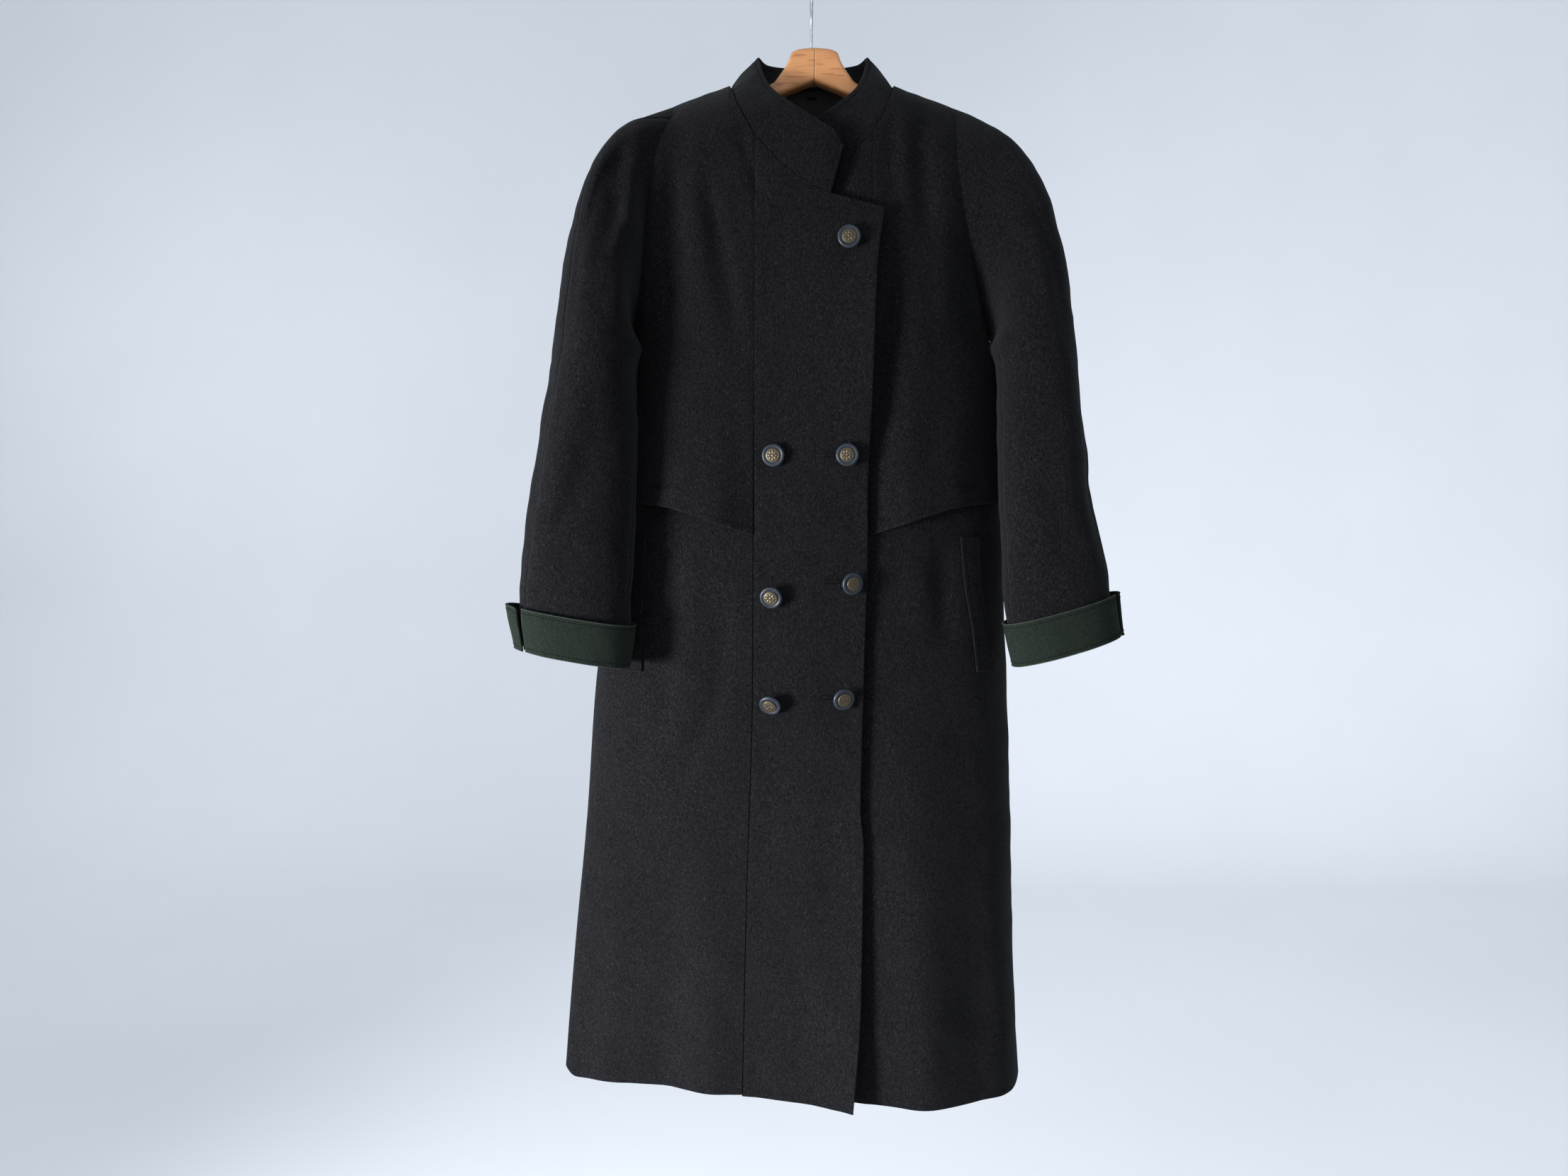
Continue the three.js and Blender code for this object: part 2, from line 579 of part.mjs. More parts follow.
function collarPiece() {
  const distances = [0];
  neck.forEach((cell, i) => {
    if (i) distances.push(distances[i - 1] + cell.point.distanceTo(neck[i - 1].point));
  });
  const first = COLLAR_COLUMN + NECK_COLUMN;
  const last = neck.length - 1 - first;
  const middle = (distances[first] + distances[last]) / 2;
  const total = distances[distances.length - 1];
  const top = neck.map((cell, i) => {
    const at = distances[i];
    if (i <= first) return collarTop(-1, at / distances[first], false);
    if (i >= last) return collarTop(1, (total - at) / (total - distances[last]), false);
    const sign = at < middle ? -1 : 1;
    const fromSide = sign < 0 ? at - distances[first] : distances[last] - at;
    return collarTop(sign, fromSide / (middle - distances[first]), true);
  });
  const foot = neck.map((cell, i) => {
    const up = top[i].clone().sub(cell.point).normalize();
    return cell.point.clone().addScaledVector(up, SEAM_GAP);
  });
  const heights = [0, 0.35, 0.7, 1];
  const grid = heights.map((height) => foot.map((point, i) => point.clone().lerp(top[i], height)));
  const normals = gridNormals(grid, neck.map((cell) => cell.normal), false);
  return gridWall(grid, normals, -1);
}

// Sleeves, each a tube from the armhole that bends down over the shoulder
const AROUND = 2 * UPPER_ROWS;
const FAN_ROWS = 7;
const FORE_SEAM = 9; // column of the seam on the sleeve's inner side; its slit gives the outer seam's

function sleeveGrid(loop, table, sign) {
  const startZ = table[0][0];
  const middle = loop.length / 2;
  const curves = loop.map((cell, j) => {
    const start = cell.point.clone().addScaledVector(cell.leave, SEAM_GAP);
    const end = sleevePoint(table, sign, startZ, j / AROUND);
    const reach = start.distanceTo(end);
    const top = Math.abs(j > middle ? loop.length - j : j) / middle;
    const leave = start.clone().addScaledVector(cell.leave, CAP.leave * reach);
    leave.z -= CAP.fall * reach * (1 - smooth(0, 0.5, top));
    const arrive = end.clone().add(new THREE.Vector3(-CAP.lean * sign, 0, CAP.arrive).multiplyScalar(reach));
    return new THREE.CubicBezierCurve3(start, leave, arrive, end);
  });
  const grid = [];
  for (let k = 0; k <= FAN_ROWS; k += 1) grid.push(curves.map((curve) => curve.getPoint(k / FAN_ROWS)));
  for (const [z] of table.slice(1)) grid.push(loop.map((_, j) => sleevePoint(table, sign, z, j / AROUND)));
  return grid;
}

function sleevePiece(grid, normals, sign, from, to) {
  const columns = Array.from({ length: to - from + 1 }, (_, i) => (from + i) % AROUND);
  const outwards = sign > 0 ? 1 : -1;
  const inset = (row, c, next) => {
    const step = row[next].clone().sub(row[c]).normalize();
    return row[c].clone().addScaledVector(step, SEAM_GAP / 2);
  };
  const outer = grid.map((row) => columns.map((c, i) => {
    if (i === 0) return inset(row, c, columns[1]);
    if (i === columns.length - 1) return inset(row, c, columns[i - 1]);
    return row[c].clone();
  }));
  const picked = normals.map((row) => columns.map((c) => row[c]));
  return gridWall(outer, picked, outwards);
}

// A turned-back cuff, open in a slit on its outer side, where its back end stands out as a tab
function cuffPiece(table, sign, slit, tab) {
  const low = table[table.length - 1][0];
  const heights = [0, CUFF_HEIGHT / 2, CUFF_HEIGHT];
  const columns = Array.from({ length: AROUND - slit + 1 }, (_, i) => slit + i);
  const layer = (grow) => heights.map((height) => columns.map((c) => {
    const stand = tab * smooth(AROUND - 2, AROUND, c) + (CUFF_SPREAD * height) / CUFF_HEIGHT;
    return sleevePoint(table, sign, low + height, c / AROUND, grow + stand);
  }));
  return wall(layer(CUFF_REST + FELT), layer(CUFF_REST));
}

// The welt of a slanting pocket, laid on the side panel
const WELT = [[-624, 166, 190], [-676, 171, 192], [-730, 181, 203], [-778, 187, 209]]; // z, inner x, free x
const LEFT_WELT_SHIFT = [[-624, 20], [-676, 17], [-778, 5]]; // z, how much further out the left one lies
const WELT_REST = 0.7;
function weltPiece(sign) {
  const shift = (z) => (sign < 0 ? lookUp(LEFT_WELT_SHIFT, z)[0] : 0);
  const rows = WELT.map(([z, inner, free]) => [z, inner + shift(z), free + shift(z)]);
  const layer = (lift) => rows.map(([z, inner, free]) => [inner, (inner + free) / 2, free].map((x) => {
    const angle = angleAt(sign * x, z);
    return bodyPoint(-1, angle, z).addScaledVector(bodyNormal(-1, angle, z), lift);
  }));
  return wall(layer(CLOTH + WELT_REST), layer(WELT_REST));
}

// Buttons with a shank, a domed rim and a raised medallion, each drawn as radius and height
const SHANK = 4;
const BUTTON_PROFILE = [
  [0, 0], [SHANK_RADIUS, 0], [SHANK_RADIUS + 0.6, SHANK], [BUTTON_RADIUS - 1.4, SHANK + 0.6],
  [BUTTON_RADIUS, SHANK + 2.6], [BUTTON_RADIUS - 1.2, SHANK + 4.6], [BUTTON_RADIUS - 4.2, SHANK + 4.2],
  [0, SHANK + 4.2],
];
const MEDALLION_PROFILE = [
  [0, SHANK + 4.5], [MEDALLION_RADIUS, SHANK + 4.5], [MEDALLION_RADIUS - 0.6, SHANK + 6], [0, SHANK + 6.6],
];
const TURNED_SEGMENTS = 14;
function turned(profile, rise) {
  const points = profile.map(([radius, height]) => new THREE.Vector2(radius, height ? height + rise : 0));
  return new THREE.LatheGeometry(points, TURNED_SEGMENTS);
}

function addButton(index, x, z, sideLean, downLean) {
  const angle = angleAt(x, z);
  const foot = bodyPoint(-1, angle, z);
  const normal = bodyNormal(-1, angle, z);
  foot.addScaledVector(normal, lapLift({ point: foot }) + SEAM_GAP);
  const facing = normal.clone();
  facing.x += Math.tan(radians(sideLean)) * Math.sign(x);
  facing.z -= Math.tan(radians(downLean));
  const turn = new THREE.Quaternion().setFromUnitVectors(new THREE.Vector3(0, 1, 0), facing.normalize());
  const lean = Math.max(sideLean, downLean);
  const lift = 1.3 * SHANK_RADIUS * Math.sin(radians(lean)); // so that a leaning shank's rim stays outside
  const rise = 0.12 * lean; // of a leaning button along its shank
  const pieces = [['button', BUTTON_PROFILE, 'horn'], ['medallion', MEDALLION_PROFILE, 'bronze']];
  for (const [name, profile, material] of pieces) {
    const mesh = addPiece(`${name}_${index}`, turned(profile, rise), material);
    mesh.quaternion.copy(turn);
    mesh.position.copy(foot).addScaledVector(facing, lift);
  }
}

// The hanger: two arms that meet in a mitre, and a wire hook that turns back over its support
const MITRE_X = 3.3;
const ARM = [
  // out from the mitre, top, underside, middle in depth, half thickness
  [0.15, -77, -114, 0, 12],
  [14, -78, -119.5, 0, 12],
  [25.5, -82, -124, 0, 12],
  [29, -91, -125.5, 0, 12],
  [37, -104, -129, 0.5, 12],
  [48, -116, -133, 1.5, 11.5],
  [86, -125, -148, 4, 11],
  [150, -146, -170, 4, 10],
  [168, -156, -176, 3.5, 9.5],
  [180, -163, -178, 3, 8],
  [184, -167, -176, 3, 5],
];

const ARM_CHAMFER = { size: 5.5, top: 1.5, underside: 0.5 }; // and how much wider it is above and below

function armPiece(sign) {
  return bar(ARM.map(([out, top, low, middle, half]) => {
    const cut = Math.min(ARM_CHAMFER.size, (top - low) / 3);
    const upper = half - cut - ARM_CHAMFER.top;
    const under = half - cut - ARM_CHAMFER.underside;
    const ring = [[upper, top], [half, top - cut], [half, low + cut], [under, low], [-under, low],
      [-half, low + cut], [-half, top - cut], [-upper, top]];
    return ring.map(([y, z]) => new THREE.Vector3(MITRE_X + sign * out, middle + y, z));
  }));
}

// Heights of the hook's shank, the shares of its line where its bend starts and ends, and its half turns
const HOOK = { low: -76.6, high: -54, bendFrom: 0.2, bendTo: 0.45, halfTurns: 1.2 };

class HookLine extends THREE.Curve {
  // Up the shank, forwards round a bend, then over the support and down behind it
  getPoint(share) {
    const radius = HOOK_RADIUS + WIRE_RADIUS;
    const middle = -HOOK_RADIUS;
    if (share < HOOK.bendFrom) {
      return new THREE.Vector3(0, 0, lerp(HOOK.low, HOOK.high, share / HOOK.bendFrom));
    }
    if (share < HOOK.bendTo) {
      const t = (share - HOOK.bendFrom) / (HOOK.bendTo - HOOK.bendFrom);
      return new THREE.Vector3(0, -radius * smooth(0, 1, t), lerp(HOOK.high, middle, t));
    }
    const turn = Math.PI * (1 - ((share - HOOK.bendTo) / (1 - HOOK.bendTo)) * HOOK.halfTurns);
    return new THREE.Vector3(0, radius * Math.cos(turn), middle + radius * Math.sin(turn));
  }
}

function hookPiece() {
  const section = new THREE.Shape(
    Array.from({ length: 8 }, (_, i) => new THREE.Vector2(
      WIRE_RADIUS * Math.cos((Math.PI * i) / 4),
      WIRE_RADIUS * Math.sin((Math.PI * i) / 4),
    )),
  );
  return new THREE.ExtrudeGeometry(section, { steps: 26, extrudePath: new HookLine() });
}

// The small loop inside the back of the neck: where it lies, its thickness, and its space from the cloth
const LOOP = { heights: [-119.5, -123], across: [-4, 1.5, 7], thickness: 1.5, space: 0.5 };
function loopPiece() {
  const layer = (lift) => LOOP.heights.map((z) => LOOP.across.map((x) => {
    const angle = angleAt(x, z);
    return bodyPoint(1, angle, z).addScaledVector(bodyNormal(1, angle, z), -lift);
  }));
  return wall(layer(CLOTH + LOOP.space), layer(CLOTH + LOOP.space + LOOP.thickness));
}

addPiece('collar', collarPiece(), 'loden');

const sleeves = [
  { name: 'right', sign: -1, table: LEFT_SLEEVE, loop: armholes.left, slit: 2, tab: 10 },
  { name: 'left', sign: 1, table: RIGHT_SLEEVE, loop: armholes.right, slit: 1, tab: 5 },
];
for (const { name, sign, table, loop, slit, tab } of sleeves) {
  const grid = sleeveGrid(loop, table, sign);
  const normals = gridNormals(grid, loop.map((cell) => cell.normal), true);
  addPiece(`${name}_front_sleeve`, sleevePiece(grid, normals, sign, slit, FORE_SEAM), 'loden');
  addPiece(`${name}_back_sleeve`, sleevePiece(grid, normals, sign, FORE_SEAM, AROUND + slit), 'loden');
  addPiece(`${name}_cuff`, cuffPiece(table, sign, slit, tab), 'felt');
  addPiece(`${name}_pocket_welt`, weltPiece(sign), 'loden');
}

BUTTONS.forEach(([x, z, sideLean, downLean], i) => addButton(i + 1, x, z, sideLean, downLean));
addPiece('hanger_right_arm', armPiece(-1), 'beech');
addPiece('hanger_left_arm', armPiece(1), 'beech');
addPiece('hanger_hook', hookPiece(), 'wire');
addPiece('hang_loop', loopPiece(), 'loden');

export default coat;
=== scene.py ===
import math

import bpy
import numpy as np
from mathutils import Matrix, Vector
from mathutils.bvhtree import BVHTree


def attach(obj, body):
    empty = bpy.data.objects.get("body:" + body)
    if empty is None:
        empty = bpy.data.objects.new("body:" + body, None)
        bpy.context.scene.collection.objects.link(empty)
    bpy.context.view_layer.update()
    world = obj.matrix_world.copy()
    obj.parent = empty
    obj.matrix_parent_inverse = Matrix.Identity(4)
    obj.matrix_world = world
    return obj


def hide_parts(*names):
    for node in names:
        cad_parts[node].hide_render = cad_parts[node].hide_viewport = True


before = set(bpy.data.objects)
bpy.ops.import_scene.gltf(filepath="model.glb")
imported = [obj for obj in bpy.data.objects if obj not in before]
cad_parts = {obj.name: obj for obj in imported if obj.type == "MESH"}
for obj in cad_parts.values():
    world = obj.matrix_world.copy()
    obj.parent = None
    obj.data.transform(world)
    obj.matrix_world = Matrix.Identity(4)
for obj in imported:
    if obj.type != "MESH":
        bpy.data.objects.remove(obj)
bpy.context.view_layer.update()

# Sizes in millimetres, in the part's frame, and turned into metres when a mesh is made
CLOTH = 2.5
FELT = 2.8
SEAM_GAP = 0.3
HEM_Z = -1290
HEM_CORNER = 16
UNDERARM_Z = -400
NECK_X = 92
NECK_Z = -118
SHOULDER_SLOPE = 0.35
NECK_SLOPE = 0.22
BACK_NECK_RISE = 6
ARMHOLE_X = 155
RIDGE_RADIUS = 70
FLATNESS = 3
SLEEVE_FLATNESS = 0.88
CUFF_HEIGHT = 48
CUFF_REST = 0.5
CUFF_SPREAD = 2
BUTTON_RADIUS = 12.6
SHANK = 4
SHANK_RADIUS = 1.6
MEDALLION_RADIUS = 7.6
WIRE_RADIUS = 1.6
HOOK_RADIUS = 19
LAP_RISE, LAP_RISE_SHARE = 5.5, 0.6
LAP_DROP, LAP_DROP_SHARE = 8, 0.5
FLAP_REST, FLAP_REST_ZONE = 2.6, (-640, -570)
FLAP_SPACE, FLAP_STAND, FLAP_BEND = 0.4, 14, 1.5
EDGE_RADIUS = 1.2  # of the cloth's rounded edges
EDGE_STEPS = (0, 0.25, 0.7, 1.3, 2.4)  # places close to an edge, where it is rounded
STITCH_IN = 6.0  # from an edge to its topstitching
THREAD_RADIUS, THREAD_SINK = 0.42, 0.12

# The pieces' names say the wearer's right and left. LEFT_ and RIGHT_ in the tables are the viewer's.
SIDES = (("right", -1), ("left", 1))

# The camera stands where the photograph was taken from
camera = bpy.data.objects.new("camera", bpy.data.cameras.new("camera"))
bpy.context.scene.collection.objects.link(camera)
camera.location = (-0.031, -1.370, -0.578)
camera.rotation_euler = (math.radians(85.5), 0, 0)
camera.data.lens = 27.0
camera.data.sensor_width = 36.0
bpy.context.scene.camera = camera

# The body's sections: side folds, their depth, how far front and back stand from them, and the turn in plan
BODY = [
    # z, left, right, left_y, right_y, front, back, turn
    (-90, -204, 204, 4, 4, 62, 40, 0),
    (-250, -204, 204, 4, 4, 72, 42, 0),
    (-400, -204, 204, 6, 6, 80, 42, 0),
    (-412, -204, 211, 6, 8, 80, 42, 0),
    (-425, -205, 217, 6, 10, 81, 42, 0),
    (-450, -207, 220, 7, 11, 81, 42, 0),
    (-520, -211, 222, 8, 12, 82, 42, 0),
    (-640, -228, 226, 10, 14, 82, 42, 0.01),
    (-745, -246, 230, 12, 16, 82, 42, 0.03),
    (-800, -254, 233, 14, 16, 80, 42, 0.04),
    (-965, -268, 240, 20, 18, 74, 42, 0.08),
    (-1100, -283, 245, 25, 20, 68, 42, 0.11),
    (-1200, -293, 250, 28, 22, 63, 43, 0.13),
    (-1290, -301, 257, 30, 24, 60, 45, 0.15),
]

# Folds of the body: the path as (z, x) pairs from top to bottom, widths either side, and the rise along it
FRONT_FOLDS = [
    # path, width towards -X, width towards +X, rise at each point of the path
    (
        ((-225, -116), (-250, -110), (-297, -101), (-335, -93), (-380, -84), (-440, -74)),
        12, 7, (0, -4, -6, -5, -3, 0),
    ),
    (((-225, -134), (-300, -124), (-380, -112), (-450, -100)), 14, 12, (0, 3.5, 3, 0)),
    (((-180, -80), (-205, -72), (-235, -63), (-262, -58)), 8, 6, (0, -3.5, -3, 0)),
    (((-145, -134), (-240, -132), (-340, -130), (-430, -128)), 15, 15, (0, 3, 4, 0)),
    (((-150, -160), (-260, -158), (-360, -160), (-520, -168)), 9, 12, (0, -2.5, -2, 0)),
    (((-140, 118), (-190, 120), (-250, 123), (-320, 126)), 12, 10, (0, -4.5, -5, 0)),
    (((-145, 100), (-200, 100), (-270, 104)), 9, 9, (0, 3, 0)),
    (((-145, 142), (-240, 144), (-340, 147), (-420, 148)), 15, 13, (0, 3.5, 4, 0)),
    (((-150, 84), (-210, 86), (-300, 92)), 8, 8, (0, -2.5, 0)),
    (((-300, 92), (-350, 88), (-430, 80), (-520, 72), (-575, 66)), 12, 16, (0, -5, -5, -3, 0)),
    (((-320, 116), (-420, 112), (-540, 104), (-600, 100)), 20, 24, (0, 3, 2.5, 0)),
    (((-615, 144), (-660, 145), (-710, 147), (-760, 148)), 11, 16, (0, -4.5, -5, 0)),
    (((-620, 118), (-690, 120), (-780, 118)), 14, 14, (0, 2.5, 0)),
    (((-600, -158), (-640, -160), (-720, -164), (-860, -170)), 12, 12, (0, -3, -3, 0)),
    (((-600, -134), (-680, -136), (-780, -142), (-880, -150)), 14, 12, (0, 2.5, 2.5, 0)),
    (((-690, -97), (-740, -99), (-812, -108), (-866, -132), (-930, -150)), 14, 9, (0, -4.5, -5, -3.5, 0)),
    (((-960, -118), (-1080, -118), (-1180, -118), (-1290, -118)), 30, 30, (0, 4, 7, 8)),
    (((-990, -160), (-1100, -166), (-1200, -172), (-1290, -178)), 20, 20, (0, -3, -4, -5)),
    (((-980, -224), (-1100, -234), (-1290, -246)), 22, 22, (0, 3, 5)),
    (((-820, 112), (-1000, 122), (-1180, 131), (-1290, 136)), 34, 34, (0, 8, 13, 14)),
    (((-900, 182), (-1050, 190), (-1290, 204)), 22, 22, (0, -4, -6)),
    (((-860, 30), (-1000, 24), (-1150, 26)), 20, 20, (0, -2, 0)),
    (((-1000, -20), (-1130, -14), (-1290, -6)), 24, 24, (0, -2.5, -3)),
]
BACK_FOLDS = [
    (((-560, -118), (-800, -123), (-1050, -128), (-1290, -132)), 34, 34, (0, 5, 8, 9)),
    (((-640, -10), (-850, -9), (-1080, -7), (-1290, -6)), 34, 34, (0, -5, -9, -10)),
    (((-520, 96), (-780, 104), (-1050, 112), (-1290, 118)), 34, 34, (0, 5, 8, 9)),
    (((-220, -96), (-320, -87), (-430, -78), (-520, -70)), 22, 22, (0, 3, 4, 0)),
    (((-200, 70), (-330, 84), (-460, 96), (-560, 104)), 14, 18, (0, -3, -3.5, 0)),
    (((-170, 20), (-260, 26), (-380, 36), (-480, 40)), 16, 16, (0, -2.5, -3, 0)),
    (((-180, -40), (-300, -44), (-420, -40)), 18, 14, (0, -2.5, 0)),
    (((-430, -150), (-560, -156), (-700, -162)), 12, 14, (0, -3, 0)),
    (((-700, 60), (-900, 54), (-1290, 50)), 20, 22, (0, -4, -6)),
    (((-760, -66), (-980, -70), (-1290, -76)), 20, 22, (0, -4, -5)),
    (((-860, 176), (-1060, 184), (-1290, 196)), 20, 22, (0, 4, 6)),
    (((-860, -200), (-1060, -214), (-1290, -228)), 20, 22, (0, 3, 5)),
]

# The armholes from the shoulder seam's end down to the underarm, as (z, x)
LEFT_ARMHOLE = (
    (-158, -155), (-180, -163), (-200, -171), (-240, -178), (-300, -185), (-350, -192), (-400, -204),
)
RIGHT_ARMHOLE = ((-158, 155), (-211, 158), (-260, 166), (-328, 182), (-370, 194), (-400, 204))

# The seams and edges that run down the front, as (z, x)
LEFT_SEAM = ((-187, -63), (-517, -65), (-810, -67), (-937, -71), (-1020, -74), (-1290, -81))
RIGHT_SEAM = ((-187, 64), (-600, 64), (-1290, 66))
LAP_EDGE = (
    (-269, 77), (-334, 68), (-426, 63), (-551, 60), (-636, 61), (-765, 58), (-931, 56), (-976, 60),
    (-1165, 59), (-1293, 52),
)
UNDER_EDGE = ((-269, -76), (-426, -72), (-1290, -70))
LAP_FLARE = ((-260, 3), (-330, 9), (-400, 13), (-480, 10), (-560, 4), (-900, 3), (-1150, 8), (-1290, 18))
NECKLINE = (
    (92, -118), (87, -138), (83, -152), (74, -170), (64, -187), (53, -199), (42, -212), (30, -223),
    (19, -233), (-4, -247), (-19, -253), (-77, -269),
)
FLAP_EDGE = ((240, -586), (190, -588), (160, -591), (131, -599), (102, -609), (63, -623))

# The sleeves below the underarm
LEFT_SLEEVE = (
    # z, out, depth, half_out, half_deep, turn, slope
    (-430, 243, -43, 46, 66, 14, 0),
    (-500, 247, -58, 53, 49, 11, 0.01),
    (-580, 253, -66, 58, 40, 6, 0.05),
    (-650, 259, -68, 61, 36, 2, 0.1),
    (-705, 262, -70, 61, 33, 0, 0.17),
    (-758, 264, -72, 57, 32, 0, 0.18),
)
RIGHT_SLEEVE = (
    (-430, 251, -40, 43, 58, 2, 0),
    (-500, 255, -48, 47, 49, 3, 0.02),
    (-580, 261, -50, 51, 45, 2, 0.08),
    (-650, 269, -53, 55, 39, 0, 0.18),
    (-700, 277, -54, 57, 35, 0, 0.28),
    (-752, 287, -55, 57, 34, 0, 0.3),
)

# Folds of a sleeve: the path as z and a share of a turn round it, widths either side, and rises
LEFT_SLEEVE_FOLDS = (
    # path of (z, turn), width before, width after, rises
    (((-190, 0.17), (-260, 0.15), (-360, 0.13), (-470, 0.12)), 12, 14, (0, -2.5, -2.5, 0)),
    (((-200, 0.26), (-290, 0.25), (-380, 0.24)), 10, 10, (0, 2.5, 0)),
    (((-420, 0.07), (-560, 0.07), (-690, 0.08)), 12, 12, (0, -3, 0)),
    (((-430, 0.2), (-540, 0.18), (-640, 0.19)), 12, 16, (0, 2.5, 0)),
    (((-520, 0.26), (-590, 0.22), (-640, 0.17)), 8, 12, (0, -2.2, 0)),
    (((-300, 0.72), (-430, 0.74), (-560, 0.72)), 14, 14, (0, -4, 0)),
    (((-480, 0.62), (-560, 0.7), (-640, 0.76)), 12, 12, (0, 3, 0)),
    (((-230, 0.86), (-360, 0.88), (-500, 0.87)), 14, 14, (0, 3, 0)),
)
RIGHT_SLEEVE_FOLDS = (
    (((-180, 0.16), (-260, 0.17), (-360, 0.16), (-440, 0.15)), 12, 12, (0, -3, -2.5, 0)),
    (((-170, 0.26), (-260, 0.26), (-340, 0.27)), 9, 9, (0, -2.5, 0)),
    (((-180, 0.21), (-280, 0.22), (-400, 0.22)), 10, 10, (0, 2.5, 0)),
    (((-430, 0.06), (-560, 0.07), (-680, 0.07)), 12, 12, (0, -3, 0)),
    (((-450, 0.19), (-560, 0.2), (-660, 0.18)), 14, 14, (0, 2.2, 0)),
    (((-540, 0.3), (-600, 0.24), (-660, 0.2)), 9, 12, (0, -2, 0)),
    (((-300, 0.7), (-420, 0.74), (-560, 0.73)), 14, 14, (0, -4, 0)),
    (((-470, 0.64), (-560, 0.7), (-650, 0.78)), 12, 12, (0, 3, 0)),
    (((-230, 0.88), (-360, 0.86), (-500, 0.88)), 14, 14, (0, 3, 0)),
)

COLLAR_TOP = (
    (33, -76, -203), (23, -75, -187), (8, -71, -176), (-10, -65, -163), (-31, -55, -146), (-45, -42, -131),
    (-54, -25, -110), (-60, -2, -85), (-52, 26, -84), (-32, 46, -82), (0, 54, -81),
)
COLLAR_EAR = 7
COLLAR_MIDDLE_X = 1.5
COLLAR_END_DROP = 10.4

BUTTONS = (
    # x, z, lean sideways, lean down
    (39, -302, 0, 0),
    (-42, -534, 0, 0),
    (38, -534, 0, 0),
    (-44, -688, 6, 14),
    (40, -673, 26, 6),
    (-44, -806, 8, 26),
    (32, -801, 24, 8),
)


# Small sums
def lerp(a, b, t):
    return a + (b - a) * t


def clamp(t):
    return np.clip(t, 0.0, 1.0)


def smooth(start, end, t):
    s = clamp((t - start) / (end - start))
    return s * s * (3 - 2 * s)


def unit(v):
    return v / np.maximum(np.linalg.norm(v, axis=-1, keepdims=True), 1e-9)


def eased(xs, ys, x):
    """A smooth curve through a table's points that never overshoots them."""
    xs, ys = np.asarray(xs, float), np.asarray(ys, float)
    x = np.clip(x, xs[0], xs[-1])
    step = np.diff(xs)
    slope = np.diff(ys) / step
    before, after = slope[:-1], slope[1:]
    same = before * after > 0
    inner = np.where(same, 2 * before * after / np.where(same, before + after, 1), 0)
    tangent = np.concatenate([[slope[0]], inner, [slope[-1]]])
    i = np.clip(np.searchsorted(xs, x) - 1, 0, len(step) - 1)
    t = (x - xs[i]) / step[i]
    return (
        (2 * t**3 - 3 * t**2 + 1) * ys[i]
        + (t**3 - 2 * t**2 + t) * step[i] * tangent[i]
        + (3 * t**2 - 2 * t**3) * ys[i + 1]
        + (t**3 - t**2) * step[i] * tangent[i + 1]
    )


def look_up(table, key):
    rows = np.array(sorted(table), float)
    return [eased(rows[:, 0], rows[:, c], key) for c in range(1, rows.shape[1])]


def distances(line):
    """How far along a line each of its points lies."""
    return np.concatenate([[0], np.cumsum(np.linalg.norm(np.diff(line, axis=0), axis=1))])


def points_at(at, run, line):
    """Points of a line, or of its normals, at distances along it."""
    return np.stack([np.interp(at, run, line[:, k]) for k in range(3)], -1)


def edged(inner, length, steps=EDGE_STEPS):
    """Places along a length: the inner ones, and more close to both its ends."""
    steps = np.array(steps)
    return np.concatenate([steps, inner, length - steps[::-1]])


def ridge_z(x):
    out = np.abs(x) - NECK_X
    return NECK_Z - out * np.where(out > 0, SHOULDER_SLOPE, NECK_SLOPE)


def fold_rise(folds, a, z, scale=1.0, turns=False):
    """Adds up soft folds. a is the place across them, x or a share of a turn, whose size in mm is scale."""
    total = np.zeros(np.broadcast(a, z).shape)
    for path, before, after, rises in folds:
        rows = np.array(sorted((z_, a_, r) for (z_, a_), r in zip(path, rises)), float)
        middle = eased(rows[:, 0], rows[:, 1], z)
        rise = eased(rows[:, 0], rows[:, 2], z)
        rise = np.where((z < rows[0, 0] - 3) | (z > rows[-1, 0]), 0, rise)
        off = a - middle
        if turns:
            off = (off + 0.5) % 1 - 0.5
        off = off * scale
        total = total + rise * np.exp(-((off / np.where(off < 0, before, after)) ** 2))
    return total


def body(side, angle, z):
    """Points of the body's outer surface, as an angle from -90 to 90 degrees between the side folds."""
    left, right, left_y, right_y, front, back, turn = look_up(BODY, z)
    u = np.sin(angle)
    x = lerp(left, right, (1 + u) / 2)
    full = np.sqrt(np.maximum(0, 1 - np.abs(u) ** FLATNESS))
    below = clamp((ridge_z(x) - z) / RIDGE_RADIUS)
    close = np.sqrt(np.maximum(0, 1 - (1 - below) ** 2))
    depth, folds = (front, FRONT_FOLDS) if side < 0 else (back, BACK_FOLDS)
    depth = depth + fold_rise(folds, x, z)
    turned = turn * x * full if side < 0 else 0
    y = lerp(left_y, right_y, (1 + u) / 2) + side * depth * full * close - turned
    return np.stack(np.broadcast_arrays(x, y, z), -1)


def angle_at(x, z):
    left, right = look_up(BODY, z)[:2]
    return np.arcsin(np.clip((2 * x - left - right) / (right - left), -1, 1))


_random = np.random.RandomState(11)
WAVES = [
    (unit(_random.normal(size=3)) * 2 * math.pi / length, _random.uniform(0, 7), length)
    for length in np.geomspace(16, 110, 26)
]


def ripple(points):
    """The cloth's gentle unevenness, in mm."""
    total = np.zeros(points.shape[:-1])
    for wave, phase, length in WAVES:
        total += np.sin(points @ wave + phase) * 0.0026 * length
    return total


